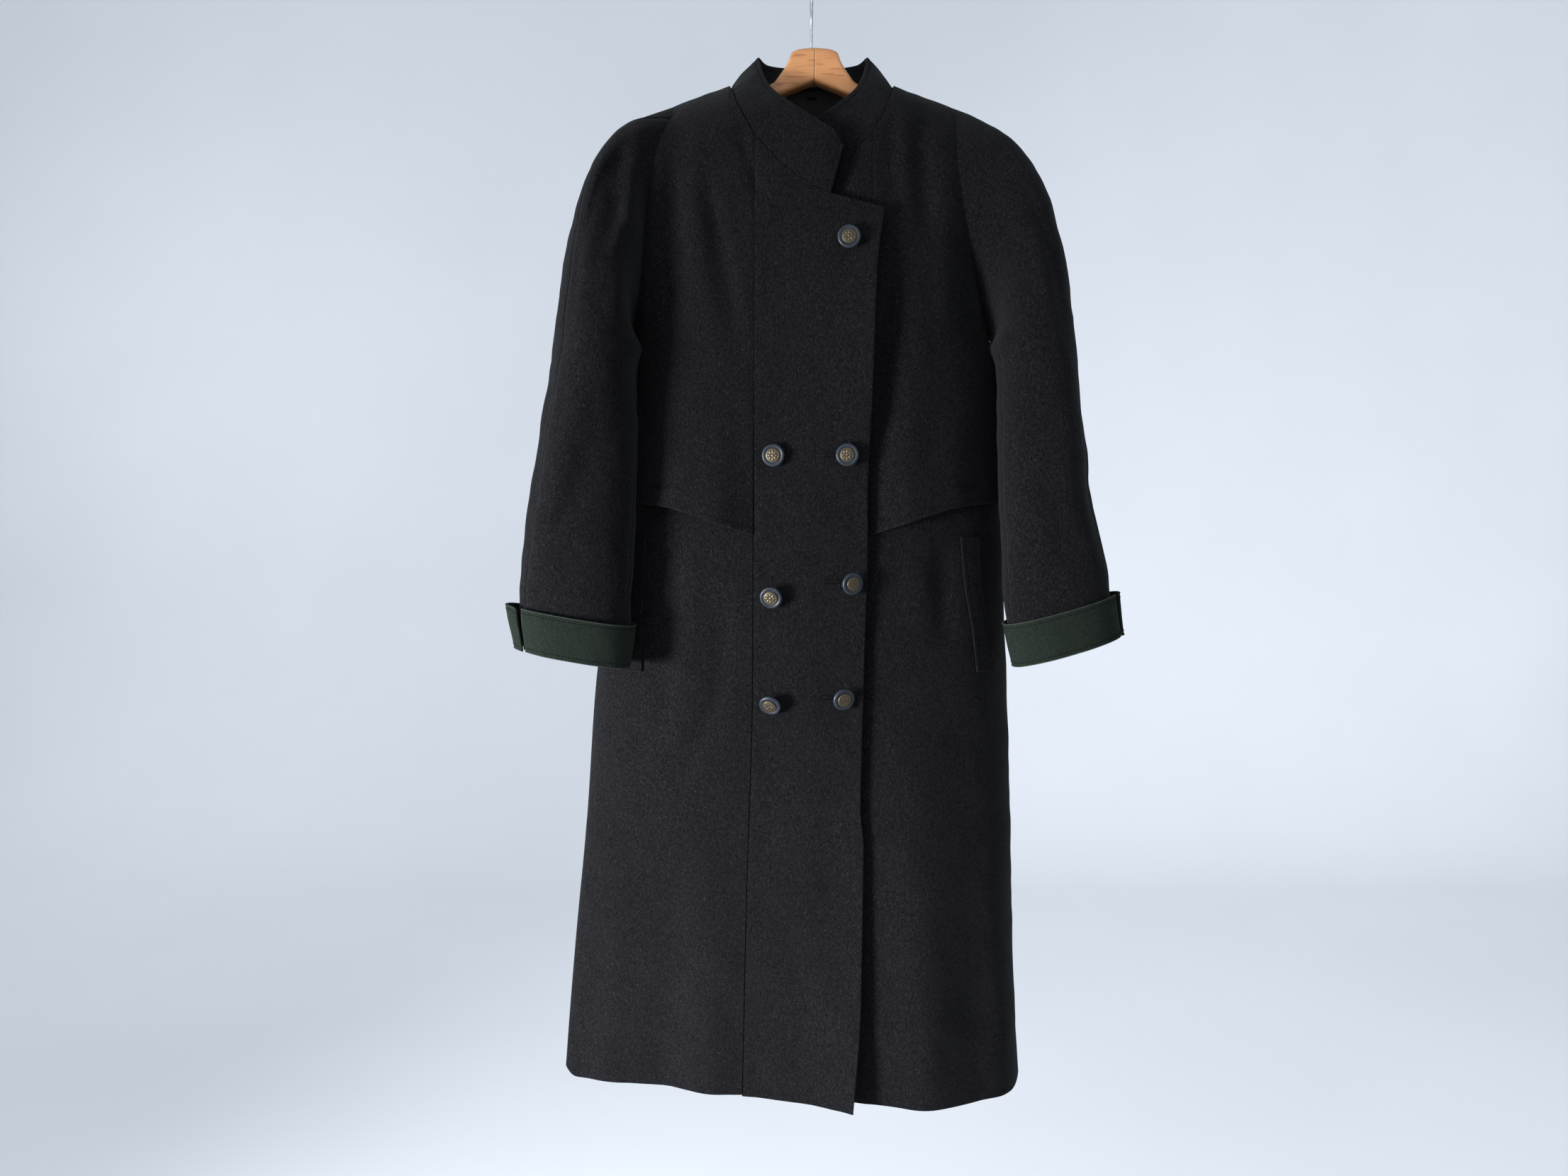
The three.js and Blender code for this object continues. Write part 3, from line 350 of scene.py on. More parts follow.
def reach(points, axis):
    """Distances along a grid's rows or columns from its first line and from its last one."""
    step = np.linalg.norm(np.diff(points, axis=axis), axis=-1)
    start = np.zeros_like(np.take(step, [0], axis=axis))
    run = np.concatenate([start, np.cumsum(step, axis=axis)], axis=axis)
    return run, np.take(run, [-1], axis=axis) - run


def normals_of(points, towards, closed=False):
    """Directions square to a grid of points, on the side that towards points to."""
    if closed:
        across = np.roll(points, -1, axis=1) - np.roll(points, 1, axis=1)
    else:
        across = np.gradient(points, axis=1)
    down = np.gradient(points, axis=0)
    normal = unit(np.cross(across, down))
    sign = np.sign(np.sum(normal * towards, axis=-1).mean())
    return normal * (sign or 1)


def edge_dip(distance):
    """How far a rounded edge draws in at a distance from it."""
    near = np.clip(EDGE_RADIUS - distance, 0, EDGE_RADIUS)
    return EDGE_RADIUS - np.sqrt(np.maximum(0, EDGE_RADIUS**2 - near**2))


# Meshes
def new_object(name, points, faces, materials, face_materials=None):
    mesh = bpy.data.meshes.new(name)
    mesh.from_pydata((np.asarray(points) / 1000).tolist(), [], [tuple(int(i) for i in f) for f in faces])
    for material in materials:
        mesh.materials.append(material)
    if face_materials is not None:
        mesh.polygons.foreach_set("material_index", np.asarray(face_materials, dtype=np.int32))
    mesh.polygons.foreach_set("use_smooth", np.full(len(faces), True))
    mesh.update()
    piece = bpy.data.objects.new(name, mesh)
    bpy.context.scene.collection.objects.link(piece)
    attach(piece, "root")
    return piece


def shell(name, outer, normals, materials, free="LRTB", thickness=CLOTH, top_share=1.0):
    """A cloth wall from a grid of outer points, with its free edges rounded and a second material inside."""
    rows, columns = outer.shape[:2]
    left, right = reach(outer, 1)
    top, bottom = reach(outer, 0)
    dip = np.zeros((rows, columns))
    for letter, distance in zip("LRTB", (left, right, top, bottom)):
        if letter in free:
            share = top_share if letter == "T" else 1.0
            dip = np.maximum(dip, edge_dip(distance) * share)
    inner = outer - normals * (thickness - dip)[..., None]
    outer = outer - normals * dip[..., None]
    points = np.concatenate([outer.reshape(-1, 3), inner.reshape(-1, 3)])
    count = rows * columns
    index = np.arange(count).reshape(rows, columns)
    a, b, c, d = index[:-1, :-1], index[1:, :-1], index[1:, 1:], index[:-1, 1:]
    front = np.stack([a, b, c, d], -1).reshape(-1, 4)
    back = front[:, ::-1] + count
    rims = []
    for line, flip in ((index[:, 0], False), (index[:, -1], True), (index[0], True), (index[-1], False)):
        rim = np.stack([line[:-1], line[:-1] + count, line[1:] + count, line[1:]], -1)
        rims.append(rim[:, ::-1] if flip else rim)
    rim = np.concatenate(rims)
    faces = np.concatenate([front, back, rim])
    made = np.cross(points[front[:, 1]] - points[front[:, 0]], points[front[:, 3]] - points[front[:, 0]])
    if np.sum(made * normals.reshape(-1, 3)[front[:, 0]]) < 0:
        faces = faces[:, ::-1]
    slots = np.zeros(len(faces), int)
    if len(materials) > 1:
        slots[len(front) : len(front) + len(back)] = 1
    return new_object(name, points, faces, materials, slots)


def ring_faces(rings, around):
    """Faces of a tube from its rings of points, with both ends shut."""
    faces = []
    for k in range(rings - 1):
        for i in range(around):
            j = (i + 1) % around
            faces.append((k * around + i, k * around + j, (k + 1) * around + j, (k + 1) * around + i))
    last = (rings - 1) * around
    return faces + [tuple(reversed(range(around))), tuple(last + i for i in range(around))]


def tube(line, radius, sides=8, taper=False):
    """Points and faces of a round thread or wire along a line."""
    line = np.asarray(line, float)
    direction = unit(np.gradient(line, axis=0))
    guide = np.array([0.0, 0.0, 1.0]) if abs(direction[0][2]) < 0.9 else np.array([1.0, 0.0, 0.0])
    points = []
    for k, (place, ahead) in enumerate(zip(line, direction)):
        first = guide - ahead * (guide @ ahead)
        guide = first = first / np.linalg.norm(first)
        second = np.cross(ahead, first)
        size = radius * (0.45 if taper and k in (0, len(line) - 1) else 1)
        for i in range(sides):
            turn = 2 * math.pi * i / sides
            points.append(place + size * (first * math.cos(turn) + second * math.sin(turn)))
    return points, ring_faces(len(line), sides)


def joined(parts):
    points, faces = [], []
    for part_points, part_faces in parts:
        start = len(points)
        points.extend(part_points)
        faces.extend([tuple(start + i for i in face) for face in part_faces])
    return points, faces


def stitches(line, normals, pitch=3.6, length=2.6):
    """Short threads that lie along a line on the cloth."""
    line, normals = np.asarray(line, float), np.asarray(normals, float)
    run = distances(line)
    parts = []
    for start in np.arange(pitch / 2, run[-1] - length, pitch):
        at = start + length * np.array([0, 0.2, 0.5, 0.8, 1])
        lift = (THREAD_RADIUS - THREAD_SINK) - 0.5 * np.array([1, 0.35, 0, 0.35, 1])
        out = unit(points_at(at, run, normals))
        parts.append(tube(points_at(at, run, line) + out * lift[:, None], THREAD_RADIUS, 6, True))
    return parts


# Materials
def nodes_of(name):
    material = bpy.data.materials.new(name)
    material.use_nodes = True
    tree = material.node_tree
    shader = tree.nodes["Principled BSDF"]
    place = tree.nodes.new("ShaderNodeTexCoord").outputs["Object"]
    return material, tree, shader, place


def set_inputs(tree, node, inputs):
    """Sets a node's inputs, or joins them where the value is another node's output."""
    for key, value in inputs.items():
        if hasattr(value, "is_output"):
            tree.links.new(value, node.inputs[key])
        else:
            node.inputs[key].default_value = value


def noise(tree, place, scale, stretch=(1, 1, 1), detail=4, roughness=0.55, turn=(0, 0, 0)):
    mapping = tree.nodes.new("ShaderNodeMapping")
    set_inputs(tree, mapping, {"Scale": stretch, "Rotation": turn, "Vector": place})
    node = tree.nodes.new("ShaderNodeTexNoise")
    vector = mapping.outputs["Vector"]
    set_inputs(tree, node, {"Scale": scale, "Detail": detail, "Roughness": roughness, "Vector": vector})
    return node.outputs["Fac"]


def ramp(tree, value, stops):
    node = tree.nodes.new("ShaderNodeValToRGB")
    for i, (position, colour) in enumerate(stops):
        stop = node.color_ramp.elements[i] if i < 2 else node.color_ramp.elements.new(position)
        stop.position = position
        stop.color = (*colour, 1)
    tree.links.new(value, node.inputs["Fac"])
    return node.outputs["Color"]


def two_tone(tree, value, first, second):
    """The usual ramp, from one colour or grey to another."""
    return ramp(tree, value, ((0.3, first), (0.7, second)))


def mix(tree, share, first, second, blend="MIX"):
    node = tree.nodes.new("ShaderNodeMix")
    node.data_type = "RGBA"
    node.blend_type = blend
    set_inputs(tree, node, {0: share, 6: first, 7: second})
    return node.outputs[2]


def bump(tree, height, distance, strength, before=None):
    node = tree.nodes.new("ShaderNodeBump")
    set_inputs(tree, node, {"Distance": distance, "Strength": strength, "Height": height})
    if before is not None:
        tree.links.new(before, node.inputs["Normal"])
    return node.outputs["Normal"]


def cloth(name, dark, light, fleck, streak=0.55, sheen=0.015, sheen_tint=(1, 1, 1), relief=1.0):
    """Brushed wool: mottled colour, fibres that lie downwards, and a soft sheen."""
    material, tree, shader, place = nodes_of(name)
    mottle = noise(tree, place, 450, (1, 1, streak), 5, 0.65)
    slow = noise(tree, place, 9, (1, 1, 0.5), 3, 0.5)
    fibre = noise(tree, place, 900, (1, 1, streak), 4, 0.7)
    fleece = noise(tree, place, 420, (1, 1, 0.5), 3, 0.6)
    base = ramp(tree, mottle, ((0.32, dark), (0.7, light)))
    flecked = ramp(tree, fibre, ((0.55, (0, 0, 0)), (0.76, fleck)))
    colour = mix(tree, 1.0, base, flecked, "ADD")
    colour = mix(tree, 1.0, colour, two_tone(tree, slow, (0.86,) * 3, (1.12,) * 3), "MULTIPLY")
    normal = bump(tree, mottle, 0.0016, 0.35 * relief)
    normal = bump(tree, fleece, 0.0009, 0.45 * relief, normal)
    normal = bump(tree, fibre, 0.0005, 0.5 * relief, normal)
    set_inputs(tree, shader, {
        "Base Color": colour, "Normal": normal, "Roughness": 0.95, "Specular IOR Level": 0.05,
        "Sheen Weight": sheen, "Sheen Roughness": 0.55, "Sheen Tint": (*sheen_tint, 1),
    })
    return material


LODEN = cloth(
    "loden_cloth", (0.0008, 0.0008, 0.0012), (0.0064, 0.0062, 0.0074), (0.0200, 0.0195, 0.0218), sheen=0.032
)
FELT_CLOTH = cloth(
    "cuff_felt", (0.0055, 0.0082, 0.0062), (0.0115, 0.0155, 0.0122), (0.006, 0.008, 0.006),
    0.8, 0.015, (0.9, 1, 0.9), 0.6,
)
# A lighter felt for thin tubes along the cuffs' edges: a painted highlight on those edges
FELT_EDGE_HIGHLIGHT = cloth("felt_edge_painted_highlight", (0.020, 0.026, 0.022), (0.034, 0.042, 0.036), (0.01, 0.012, 0.01), 1.0, 0.02)
THREAD = cloth(
    "thread", (0.0032, 0.0032, 0.0037), (0.007, 0.007, 0.0078), (0.003, 0.003, 0.003),
    1.0, 0.01, (1, 1, 1), 0.4,
)


def lining_material():
    """A smooth dark twill, brown-black, with its slanting lines."""
    material, tree, shader, place = nodes_of("lining")
    slow = noise(tree, place, 30, (1, 1, 1), 3)
    wave = tree.nodes.new("ShaderNodeTexWave")
    wave.bands_direction = "DIAGONAL"
    set_inputs(tree, wave, {"Scale": 900, "Distortion": 0.6, "Vector": place})
    set_inputs(tree, shader, {
        "Base Color": two_tone(tree, slow, (0.010, 0.0075, 0.0065), (0.017, 0.013, 0.011)),
        "Normal": bump(tree, wave.outputs["Fac"], 0.0002, 0.4), "Roughness": 0.6, "Sheen Weight": 0.03,
    })
    return material


LINING = lining_material()


def horn_material():
    """Polished dark horn, with cloudy streaks."""
    material, tree, shader, place = nodes_of("horn_rim")
    streaks = noise(tree, place, 120, (1, 1, 2.2), 5, 0.6, (0.3, 0.2, 0.5))
    fine = noise(tree, place, 900, (1, 1, 1), 3)
    stops = ((0.3, (0.005, 0.007, 0.011)), (0.62, (0.012, 0.017, 0.025)), (0.8, (0.025, 0.030, 0.038)))
    set_inputs(tree, shader, {
        "Base Color": ramp(tree, streaks, stops), "Roughness": two_tone(tree, fine, (0.38,) * 3, (0.52,) * 3),
        "Normal": bump(tree, fine, 0.0002, 0.2), "Specular IOR Level": 0.35,
        "Coat Weight": 0.08, "Coat Roughness": 0.25,
    })
    return material


def bronze_material():
    """Aged bronze, darker in its hollows and rubbed bright on its ridges."""
    material, tree, shader, place = nodes_of("aged_bronze")
    cloud = noise(tree, place, 380, (1, 1, 1), 5, 0.6)
    fine = noise(tree, place, 1800, (1, 1, 1), 3)
    geometry = tree.nodes.new("ShaderNodeNewGeometry")
    worn = ramp(tree, geometry.outputs["Pointiness"], ((0.44, (0, 0, 0)), (0.56, (1, 1, 1))))
    patina = two_tone(tree, cloud, (0.012, 0.010, 0.008), (0.045, 0.037, 0.027))
    set_inputs(tree, shader, {
        "Base Color": mix(tree, worn, patina, (0.13, 0.105, 0.068, 1)),
        "Roughness": two_tone(tree, cloud, (0.34,) * 3, (0.55,) * 3),
        "Normal": bump(tree, fine, 0.0002, 0.35), "Metallic": 0.9,
    })
    return material


def beech_material():
    """Clear-lacquered beech, with its grain along the arm and short dark flecks."""
    material, tree, shader, place = nodes_of("lacquered_beech")
    grain = noise(tree, place, 16, (0.5, 5, 5), 4, 0.5, (0, 0.32, 0))
    fleck = noise(tree, place, 150, (0.22, 2.2, 2.2), 3, 0.5, (0, 0.32, 0))
    pore = noise(tree, place, 700, (0.15, 2, 2), 2, 0.5, (0, 0.32, 0))
    colour = ramp(
        tree, grain, ((0.25, (0.38, 0.155, 0.052)), (0.5, (0.46, 0.200, 0.070)), (0.75, (0.54, 0.255, 0.100)))
    )
    flecks = ramp(tree, fleck, ((0.34, (0.72, 0.62, 0.55)), (0.46, (1, 1, 1))))
    set_inputs(tree, shader, {
        "Base Color": mix(tree, 1.0, colour, flecks, "MULTIPLY"),
        "Roughness": two_tone(tree, fleck, (0.36,) * 3, (0.5,) * 3),
        "Normal": bump(tree, pore, 0.0002, 0.25), "Coat Weight": 0.12, "Coat Roughness": 0.22,
    })
    return material


def wire_material():
    """Nickel-plated wire, drawn, with faint marks and handling wear."""
    material, tree, shader, place = nodes_of("plated_wire")
    marks = noise(tree, place, 900, (1, 1, 0.12), 4)
    cloud = noise(tree, place, 120, (1, 1, 1), 3)
    set_inputs(tree, shader, {
        "Base Color": two_tone(tree, cloud, (0.40, 0.41, 0.42), (0.60, 0.60, 0.60)),
        "Roughness": two_tone(tree, marks, (0.2,) * 3, (0.38,) * 3),
        "Normal": bump(tree, marks, 0.0001, 0.3), "Metallic": 1.0,
    })
    return material


HORN = horn_material()
BRONZE = bronze_material()
BEECH = beech_material()
WIRE = wire_material()


# Panels of the body, and their steps above the underarm, below it, and below it on a storm flap
UPPER = 56
LOWER = 150
FLAP_LOWER = 46


def spread(width, step, marks=()):
    """Shares of a width, close together at its ends, with marks among them."""
    shares = edged(np.linspace(4, width - 4, max(3, int((width - 8) / step))), width) / width
    for mark in marks:
        shares[np.argmin(np.abs(shares - mark))] = mark
    return np.sort(shares)


upper_shares = (1 - np.cos(np.pi * np.linspace(0, 1, UPPER + 1))) / 2


def lower_shares(length, count):
    ends = np.array(EDGE_STEPS[::-1]) / length
    return np.concatenate([np.linspace(0, 1 - 4 / length, count - 4)[1:], 1 - ends])


def panel(side, shares, inner_angle, outer_angle, top_z, low_z, count):
    """A grid of points of the body's surface between two seams, from a top edge to a lower one."""
    low = lower_shares(UNDERARM_Z - low_z(0.0), count)
    steps = np.concatenate([upper_shares, 1 + low])
    share = np.broadcast_to(shares[None, :], (len(steps), len(shares)))
    step = np.broadcast_to(steps[:, None], share.shape)
    z = np.full(share.shape, float(UNDERARM_Z))
    for _ in range(12):
        angle = lerp(inner_angle(z), outer_angle(z), share)
        x = body(side, angle, z)[..., 0]
        z = np.where(
            step <= 1,
            lerp(top_z(x), UNDERARM_Z, np.minimum(step, 1)),
            lerp(UNDERARM_Z, low_z(x), np.maximum(step - 1, 0)),
        )
    return body(side, angle, z)


def seam(table):
    rows = np.array(sorted(table), float)
    return lambda z: eased(rows[:, 0], rows[:, 1], z)


left_seam, right_seam, lap_edge, under_edge = map(seam, (LEFT_SEAM, RIGHT_SEAM, LAP_EDGE, UNDER_EDGE))


def seam_angle(edge):
    return lambda z: angle_at(edge(z), z)


def front_top(sign):
    rows = np.array(sorted((sign * x, z) for x, z in NECKLINE), float)
    return lambda x: np.where(sign * x > NECK_X, ridge_z(x), np.interp(x, rows[:, 0], rows[:, 1]))


def back_top(x):
    inside = NECK_Z + BACK_NECK_RISE * (1 - (x / NECK_X) ** 2)
    return np.where(np.abs(x) < NECK_X, inside, ridge_z(x))


def side_angle(sign):
    armhole = seam(LEFT_ARMHOLE if sign < 0 else RIGHT_ARMHOLE)
    return lambda z: np.where(z > UNDERARM_Z, angle_at(armhole(z), z), sign * np.pi / 2)


def level(z):
    return lambda x: np.full(np.shape(x), float(z))


def hem(x):
    """The hem's height, with its corners at the side folds rounded."""
    left, right = BODY[-1][1:3]
    corner = clamp(1 - (x - left) / HEM_CORNER) ** 2 + clamp(1 - (right - x) / HEM_CORNER) ** 2
    return HEM_Z + 0.8 * HEM_CORNER * corner


# Where the collar ends on the lap and under panels, as shares of their width, and how much longer the lap is
COLLAR_SHARE = (0.586, 0.591)
LAP_LONGER = 2
lap_shares = spread(130, 3.2, (COLLAR_SHARE[0],))
under_shares = spread(136, 3.4, (COLLAR_SHARE[1],))
lap_ends = seam_angle(left_seam), seam_angle(lap_edge)
under_ends = seam_angle(right_seam), seam_angle(under_edge)
lap = panel(-1, lap_shares, *lap_ends, front_top(-1), level(HEM_Z - LAP_LONGER), LOWER)
under = panel(-1, under_shares, *under_ends, front_top(1), level(HEM_Z), LOWER)
flap_rows = np.array(sorted(FLAP_EDGE), float)


def flap_low(x):
    return eased(flap_rows[:, 0], flap_rows[:, 1], np.abs(x))


sides, flaps, neck_columns = {}, {}, {}
for name, sign in SIDES:
    edge = left_seam if sign < 0 else right_seam
    start, neck_point, end = [
        float(angle_at(x, NECK_Z)) for x in (edge(NECK_Z), sign * NECK_X, sign * ARMHOLE_X)
    ]
    neck_share = (neck_point - start) / (end - start)
    shares = spread(150, 3.6, (neck_share,))
    neck_columns[name] = int(np.argmin(np.abs(shares - neck_share)))
    for store, low, count in ((sides, hem, LOWER), (flaps, flap_low, FLAP_LOWER)):
        store[name] = panel(-1, shares, seam_angle(edge), side_angle(sign), front_top(sign), low, count)
neck_inside = float(angle_at(NECK_X, NECK_Z) / angle_at(ARMHOLE_X, NECK_Z))
half = spread(200, 3.9, (neck_inside,))
half = np.unique(np.concatenate([np.linspace(0, 0.05, 4), half[half > 0.05]]))
back_shares = (1 + np.concatenate([-half[::-1], half[1:]])) / 2
back = panel(1, back_shares, side_angle(-1), side_angle(1), back_top, hem, LOWER)

OUT = np.array([0.0, 1.0, 0.0])
normals = {"lap": normals_of(lap, -OUT), "under": normals_of(under, -OUT), "back": normals_of(back, OUT)}
for name in ("right", "left"):
    normals["side_" + name] = normals_of(sides[name], -OUT)
    normals["flap_" + name] = normals_of(flaps[name], -OUT)


def settle_normals(points, normal):
    """Both walls stand upright on the shoulder's ridge."""
    on_ridge = np.abs(points[0][:, 0]) >= NECK_X - 0.5
    normal[0][on_ridge] = (0, 0, 1)


settle_normals(back, normals["back"])
for name in ("right", "left"):
    settle_normals(sides[name], normals["side_" + name])
    settle_normals(flaps[name], normals["flap_" + name])

# Below the underarm, front and back share the direction of their side fold
for name, column in (("right", 0), ("left", -1)):
    shared = unit(normals["side_" + name][UPPER:, -1] + normals["back"][UPPER:, column])
    normals["side_" + name][UPPER:, -1] = shared
    normals["back"][UPPER:, column] = shared
    flap_rows_here = normals["flap_" + name].shape[0]
    normals["flap_" + name][UPPER:, -1] = shared[: flap_rows_here - UPPER]


def lap_lift(points):
    x, z = points[..., 0], points[..., 2]
    share = clamp((x - left_seam(z)) / (lap_edge(z) - left_seam(z)))
    flare = look_up(LAP_FLARE, z)[0]
    return LAP_RISE * smooth(0, LAP_RISE_SHARE, share) + flare * share**3


def under_lift(points):
    x, z = points[..., 0], points[..., 2]
    share = clamp((right_seam(z) - x) / (right_seam(z) - under_edge(z)))
    return -LAP_DROP * smooth(0, LAP_DROP_SHARE, share)


def side_lift(points):
    return -FLAP_REST * smooth(*FLAP_REST_ZONE, points[..., 2])


def flap_lift(sign, points):
    x, z = points[..., 0], points[..., 2]
    edge = left_seam if sign < 0 else right_seam
    down = np.maximum(0, (UNDERARM_Z - z) / (UNDERARM_Z - FLAP_EDGE[2][1])) ** FLAP_BEND
    loose = lerp(0.08, 1, smooth(0, 45, np.abs(x - edge(z))))
    pressed = lerp(1, 0.2, smooth(150, 200, np.abs(x)))
    return CLOTH + FLAP_SPACE - FLAP_REST + FLAP_STAND * down * loose * pressed


# Creases where a sleeve's front meets the body, and the cloth that stands forward beside them
CREASES = (
    # width, path of (z, x, how far back)
    (14, (
        (-160, -160, -2), (-190, -166, -8), (-240, -171, -12),
        (-300, -173, -12), (-345, -176, -8), (-400, -190, 0),
    )),
    (15, (
        (-165, -176, 0), (-185, -186, -10), (-240, -193, -21),
        (-300, -194, -28), (-345, -197, -17), (-400, -203, 0),
    )),
    (6, ((-210, -182, 0), (-250, -184, 5), (-330, -186, 8), (-385, -190, 5), (-400, -192, 0))),
    (22, ((-160, 158, 0), (-200, 160, -4), (-250, 165, -5), (-300, 174, -2), (-330, 180, 0))),
    (12, ((-280, 174, 0), (-320, 184, 5), (-355, 192, 11), (-385, 199, 9), (-400, 202, 0))),
)


def crease(points):
    """How far back a point of the front lies because of the creases."""
    total = np.zeros(points.shape[:-1])
    x, z = points[..., 0], points[..., 2]
    for width, path in CREASES:
        rows = np.array(sorted(path), float)
        depth = np.where((z < rows[0, 0]) | (z > rows[-1, 0]), 0, eased(rows[:, 0], rows[:, 2], z))
        total += depth * np.exp(-(((x - eased(rows[:, 0], rows[:, 1], z)) / width) ** 2))
    return total


# Sleeves
def sleeve_point(table, sign, z, turn, grow=0.0):
    out, depth, half_out, half_deep, lean, slope = look_up(table, z)

    def fill(value):
        return np.sign(value) * np.abs(value) ** SLEEVE_FLATNESS

    outward = (half_out + grow) * fill(np.cos(2 * np.pi * turn))
    forward = (half_deep + grow) * fill(np.sin(2 * np.pi * turn))
    c, s = np.cos(np.radians(lean)), np.sin(np.radians(lean))
    x = out + outward * c - forward * s
    y = depth - outward * s - forward * c
    return np.stack(np.broadcast_arrays(sign * x, y, z + slope * outward), -1)


# Points round a sleeve, and how far out past the upper arm it aims as it leaves the armhole
AROUND = 2 * UPPER
SHOULDER_REACH = 25
turns = np.arange(AROUND) / AROUND


def armhole_loop(name, sign, table):
    """The armhole's loop of points, the way the sleeve leaves it, and the mitre both walls are cut on."""
    column = 0 if sign < 0 else -1
    points = np.concatenate([flaps[name][: UPPER + 1, -1], back[1:UPPER, column][::-1]])
    front_normal, back_normal = normals["flap_" + name], normals["back"]
    normal = np.concatenate([front_normal[: UPPER + 1, -1], back_normal[1:UPPER, column][::-1]])
    end = sleeve_point(table, sign, np.full(AROUND, float(table[0][0])), turns)
    tangent = unit(np.roll(points, -1, axis=0) - np.roll(points, 1, axis=0))
    ahead = end[:, 0] - points[:, 0] + sign * SHOULDER_REACH
    leave = np.stack([ahead, end[:, 1] - points[:, 1], np.zeros(AROUND)], -1)
    leave = unit(leave - tangent * np.sum(leave * tangent, axis=-1, keepdims=True))
    column_index = np.arange(AROUND)
    top = 1 - np.minimum(column_index, AROUND - column_index) / UPPER
    leave[:, 2] -= SHOULDER_SLOPE * smooth(0.5, 1, top)
    leave = unit(leave)
    outside = np.cross(tangent, leave) * sign
    mitre = unit(normal + outside)
    mitre = mitre / np.maximum(0.5, np.sum(mitre * normal, axis=-1, keepdims=True))
    for key in ("flap_", "side_"):
        normals[key + name][: UPPER + 1, -1] = mitre[: UPPER + 1]
    normals["back"][0, column] = mitre[0]
    normals["back"][1 : UPPER + 1, column] = mitre[UPPER:][::-1]
    return points, leave, mitre


# Steps from the armhole to the upper arm, and from there down to the cuff
FAN, TAIL = 46, 72
# A sleeve's inner side leans against the body just below the underarm: how far, where, and its widths
UNDERARM_FILL, FILL_Z, FILL_TURN, FILL_HEIGHT = 7, -412, 0.12, 16


def sleeve_grid(loop, leave, table, sign, folds):
    """A tube from the armhole that bends down over the shoulder and hangs from there."""
    start_z = float(table[0][0])
    start = loop + leave * SEAM_GAP
    end = sleeve_point(table, sign, np.full(AROUND, start_z), turns)
    length = np.linalg.norm(end - start, axis=-1, keepdims=True)
    top = np.where(np.arange(AROUND) > UPPER, AROUND - np.arange(AROUND), np.arange(AROUND)) / UPPER
    first = start + leave * 0.3 * length
    first[:, 2] -= (0.045 * length[:, 0]) * (1 - smooth(0, 0.5, top))
    second = end + np.array([-0.06 * sign, 0, 0.6]) * length
    rows = []
    for t in np.concatenate([[0, 0.0016, 0.0045, 0.009, 0.016], np.linspace(0.03, 1, FAN)]):
        s = 1 - t
        rows.append(s**3 * start + 3 * s**2 * t * first + 3 * s * t**2 * second + t**3 * end)
    low = float(table[-1][0])
    hanging = np.linspace(start_z, low + 3, TAIL)[1:]
    for z in np.concatenate([hanging, low + np.array(EDGE_STEPS[3::-1])]):
        rows.append(sleeve_point(table, sign, np.full(AROUND, z), turns))
    grid = np.stack(rows)
    middle = grid.mean(axis=1, keepdims=True)
    normal = normals_of(grid, grid - middle, True)
    around = np.linalg.norm(np.roll(grid, -1, axis=1) - grid, axis=-1).sum(axis=1)
    fade = smooth(0, 0.12, np.linspace(0, 1, len(rows)))[:, None]
    rise = fold_rise(folds, np.broadcast_to(turns, grid.shape[:2]), grid[..., 2], around[:, None], True)
    rise = rise * smooth(low + 45, low + 110, grid[..., 2]) + ripple(grid) * 1.3
    grid = grid + normal * (rise * fade)[..., None]
    in_front = np.arange(AROUND)[None] <= UPPER
    grid[..., 1] += np.where(in_front, crease(grid), 0)
    inside = np.exp(-(((turns[None] - 0.5) / FILL_TURN) ** 2) - ((grid[..., 2] - FILL_Z) / FILL_HEIGHT) ** 2)
    grid[..., 0] -= sign * UNDERARM_FILL * inside * fade
    return grid, normals_of(grid, grid - middle, True)


sleeves = {}
for name, sign, table, folds in (
    ("right", -1, LEFT_SLEEVE, LEFT_SLEEVE_FOLDS),
    ("left", 1, RIGHT_SLEEVE, RIGHT_SLEEVE_FOLDS),
):
    loop, leave, mitre = armhole_loop(name, sign, table)
    grid, normal = sleeve_grid(loop, leave, table, sign, folds)
    normal[0] = mitre
    sleeves[name] = (grid, normal, sign, table)


# Finished panels
def hold(points, normal, lift):
    """The grid's outer face: lifted, with the cloth's unevenness faded out towards its seams."""
    fade = np.ones(points.shape[:2])
    for distance in (*reach(points, 1), reach(points, 0)[0]):
        fade = fade * smooth(0, 14, distance)
    return points + normal * (lift + ripple(points) * fade)[..., None]


def groove(distance, at=STITCH_IN, depth=0.5, width=1.0):
    """The line that a row of topstitching draws into the cloth."""
    return -depth * np.exp(-(((distance - at) / width) ** 2))


def sewn_seam(distance):
    """The shallow valley beside a pressed seam."""
    return -0.7 * np.exp(-((distance / 3.2) ** 2))


def line_at(grid, normal, side, distance, start=0.0, end=1.0):
    """Points and normals of a line at a distance from one edge of a grid."""
    axis = 1 if side in "LR" else 0
    near, far = reach(grid, axis)
    run = near if side in "LT" else far
    count = grid.shape[1 - axis]
    points, outs = [], []
    for k in range(int(start * (count - 1)), int(end * (count - 1)) + 1):
        d = run[k] if axis == 1 else run[:, k]
        g = grid[k] if axis == 1 else grid[:, k]
        n = normal[k] if axis == 1 else normal[:, k]
        if d[0] > d[-1]:
            d, g, n = d[::-1], g[::-1], n[::-1]
        points.append(points_at(distance, d, g))
        outs.append(points_at(distance, d, n))
    return np.array(points), unit(np.array(outs))


def finish_cloth(node):
    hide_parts(node)


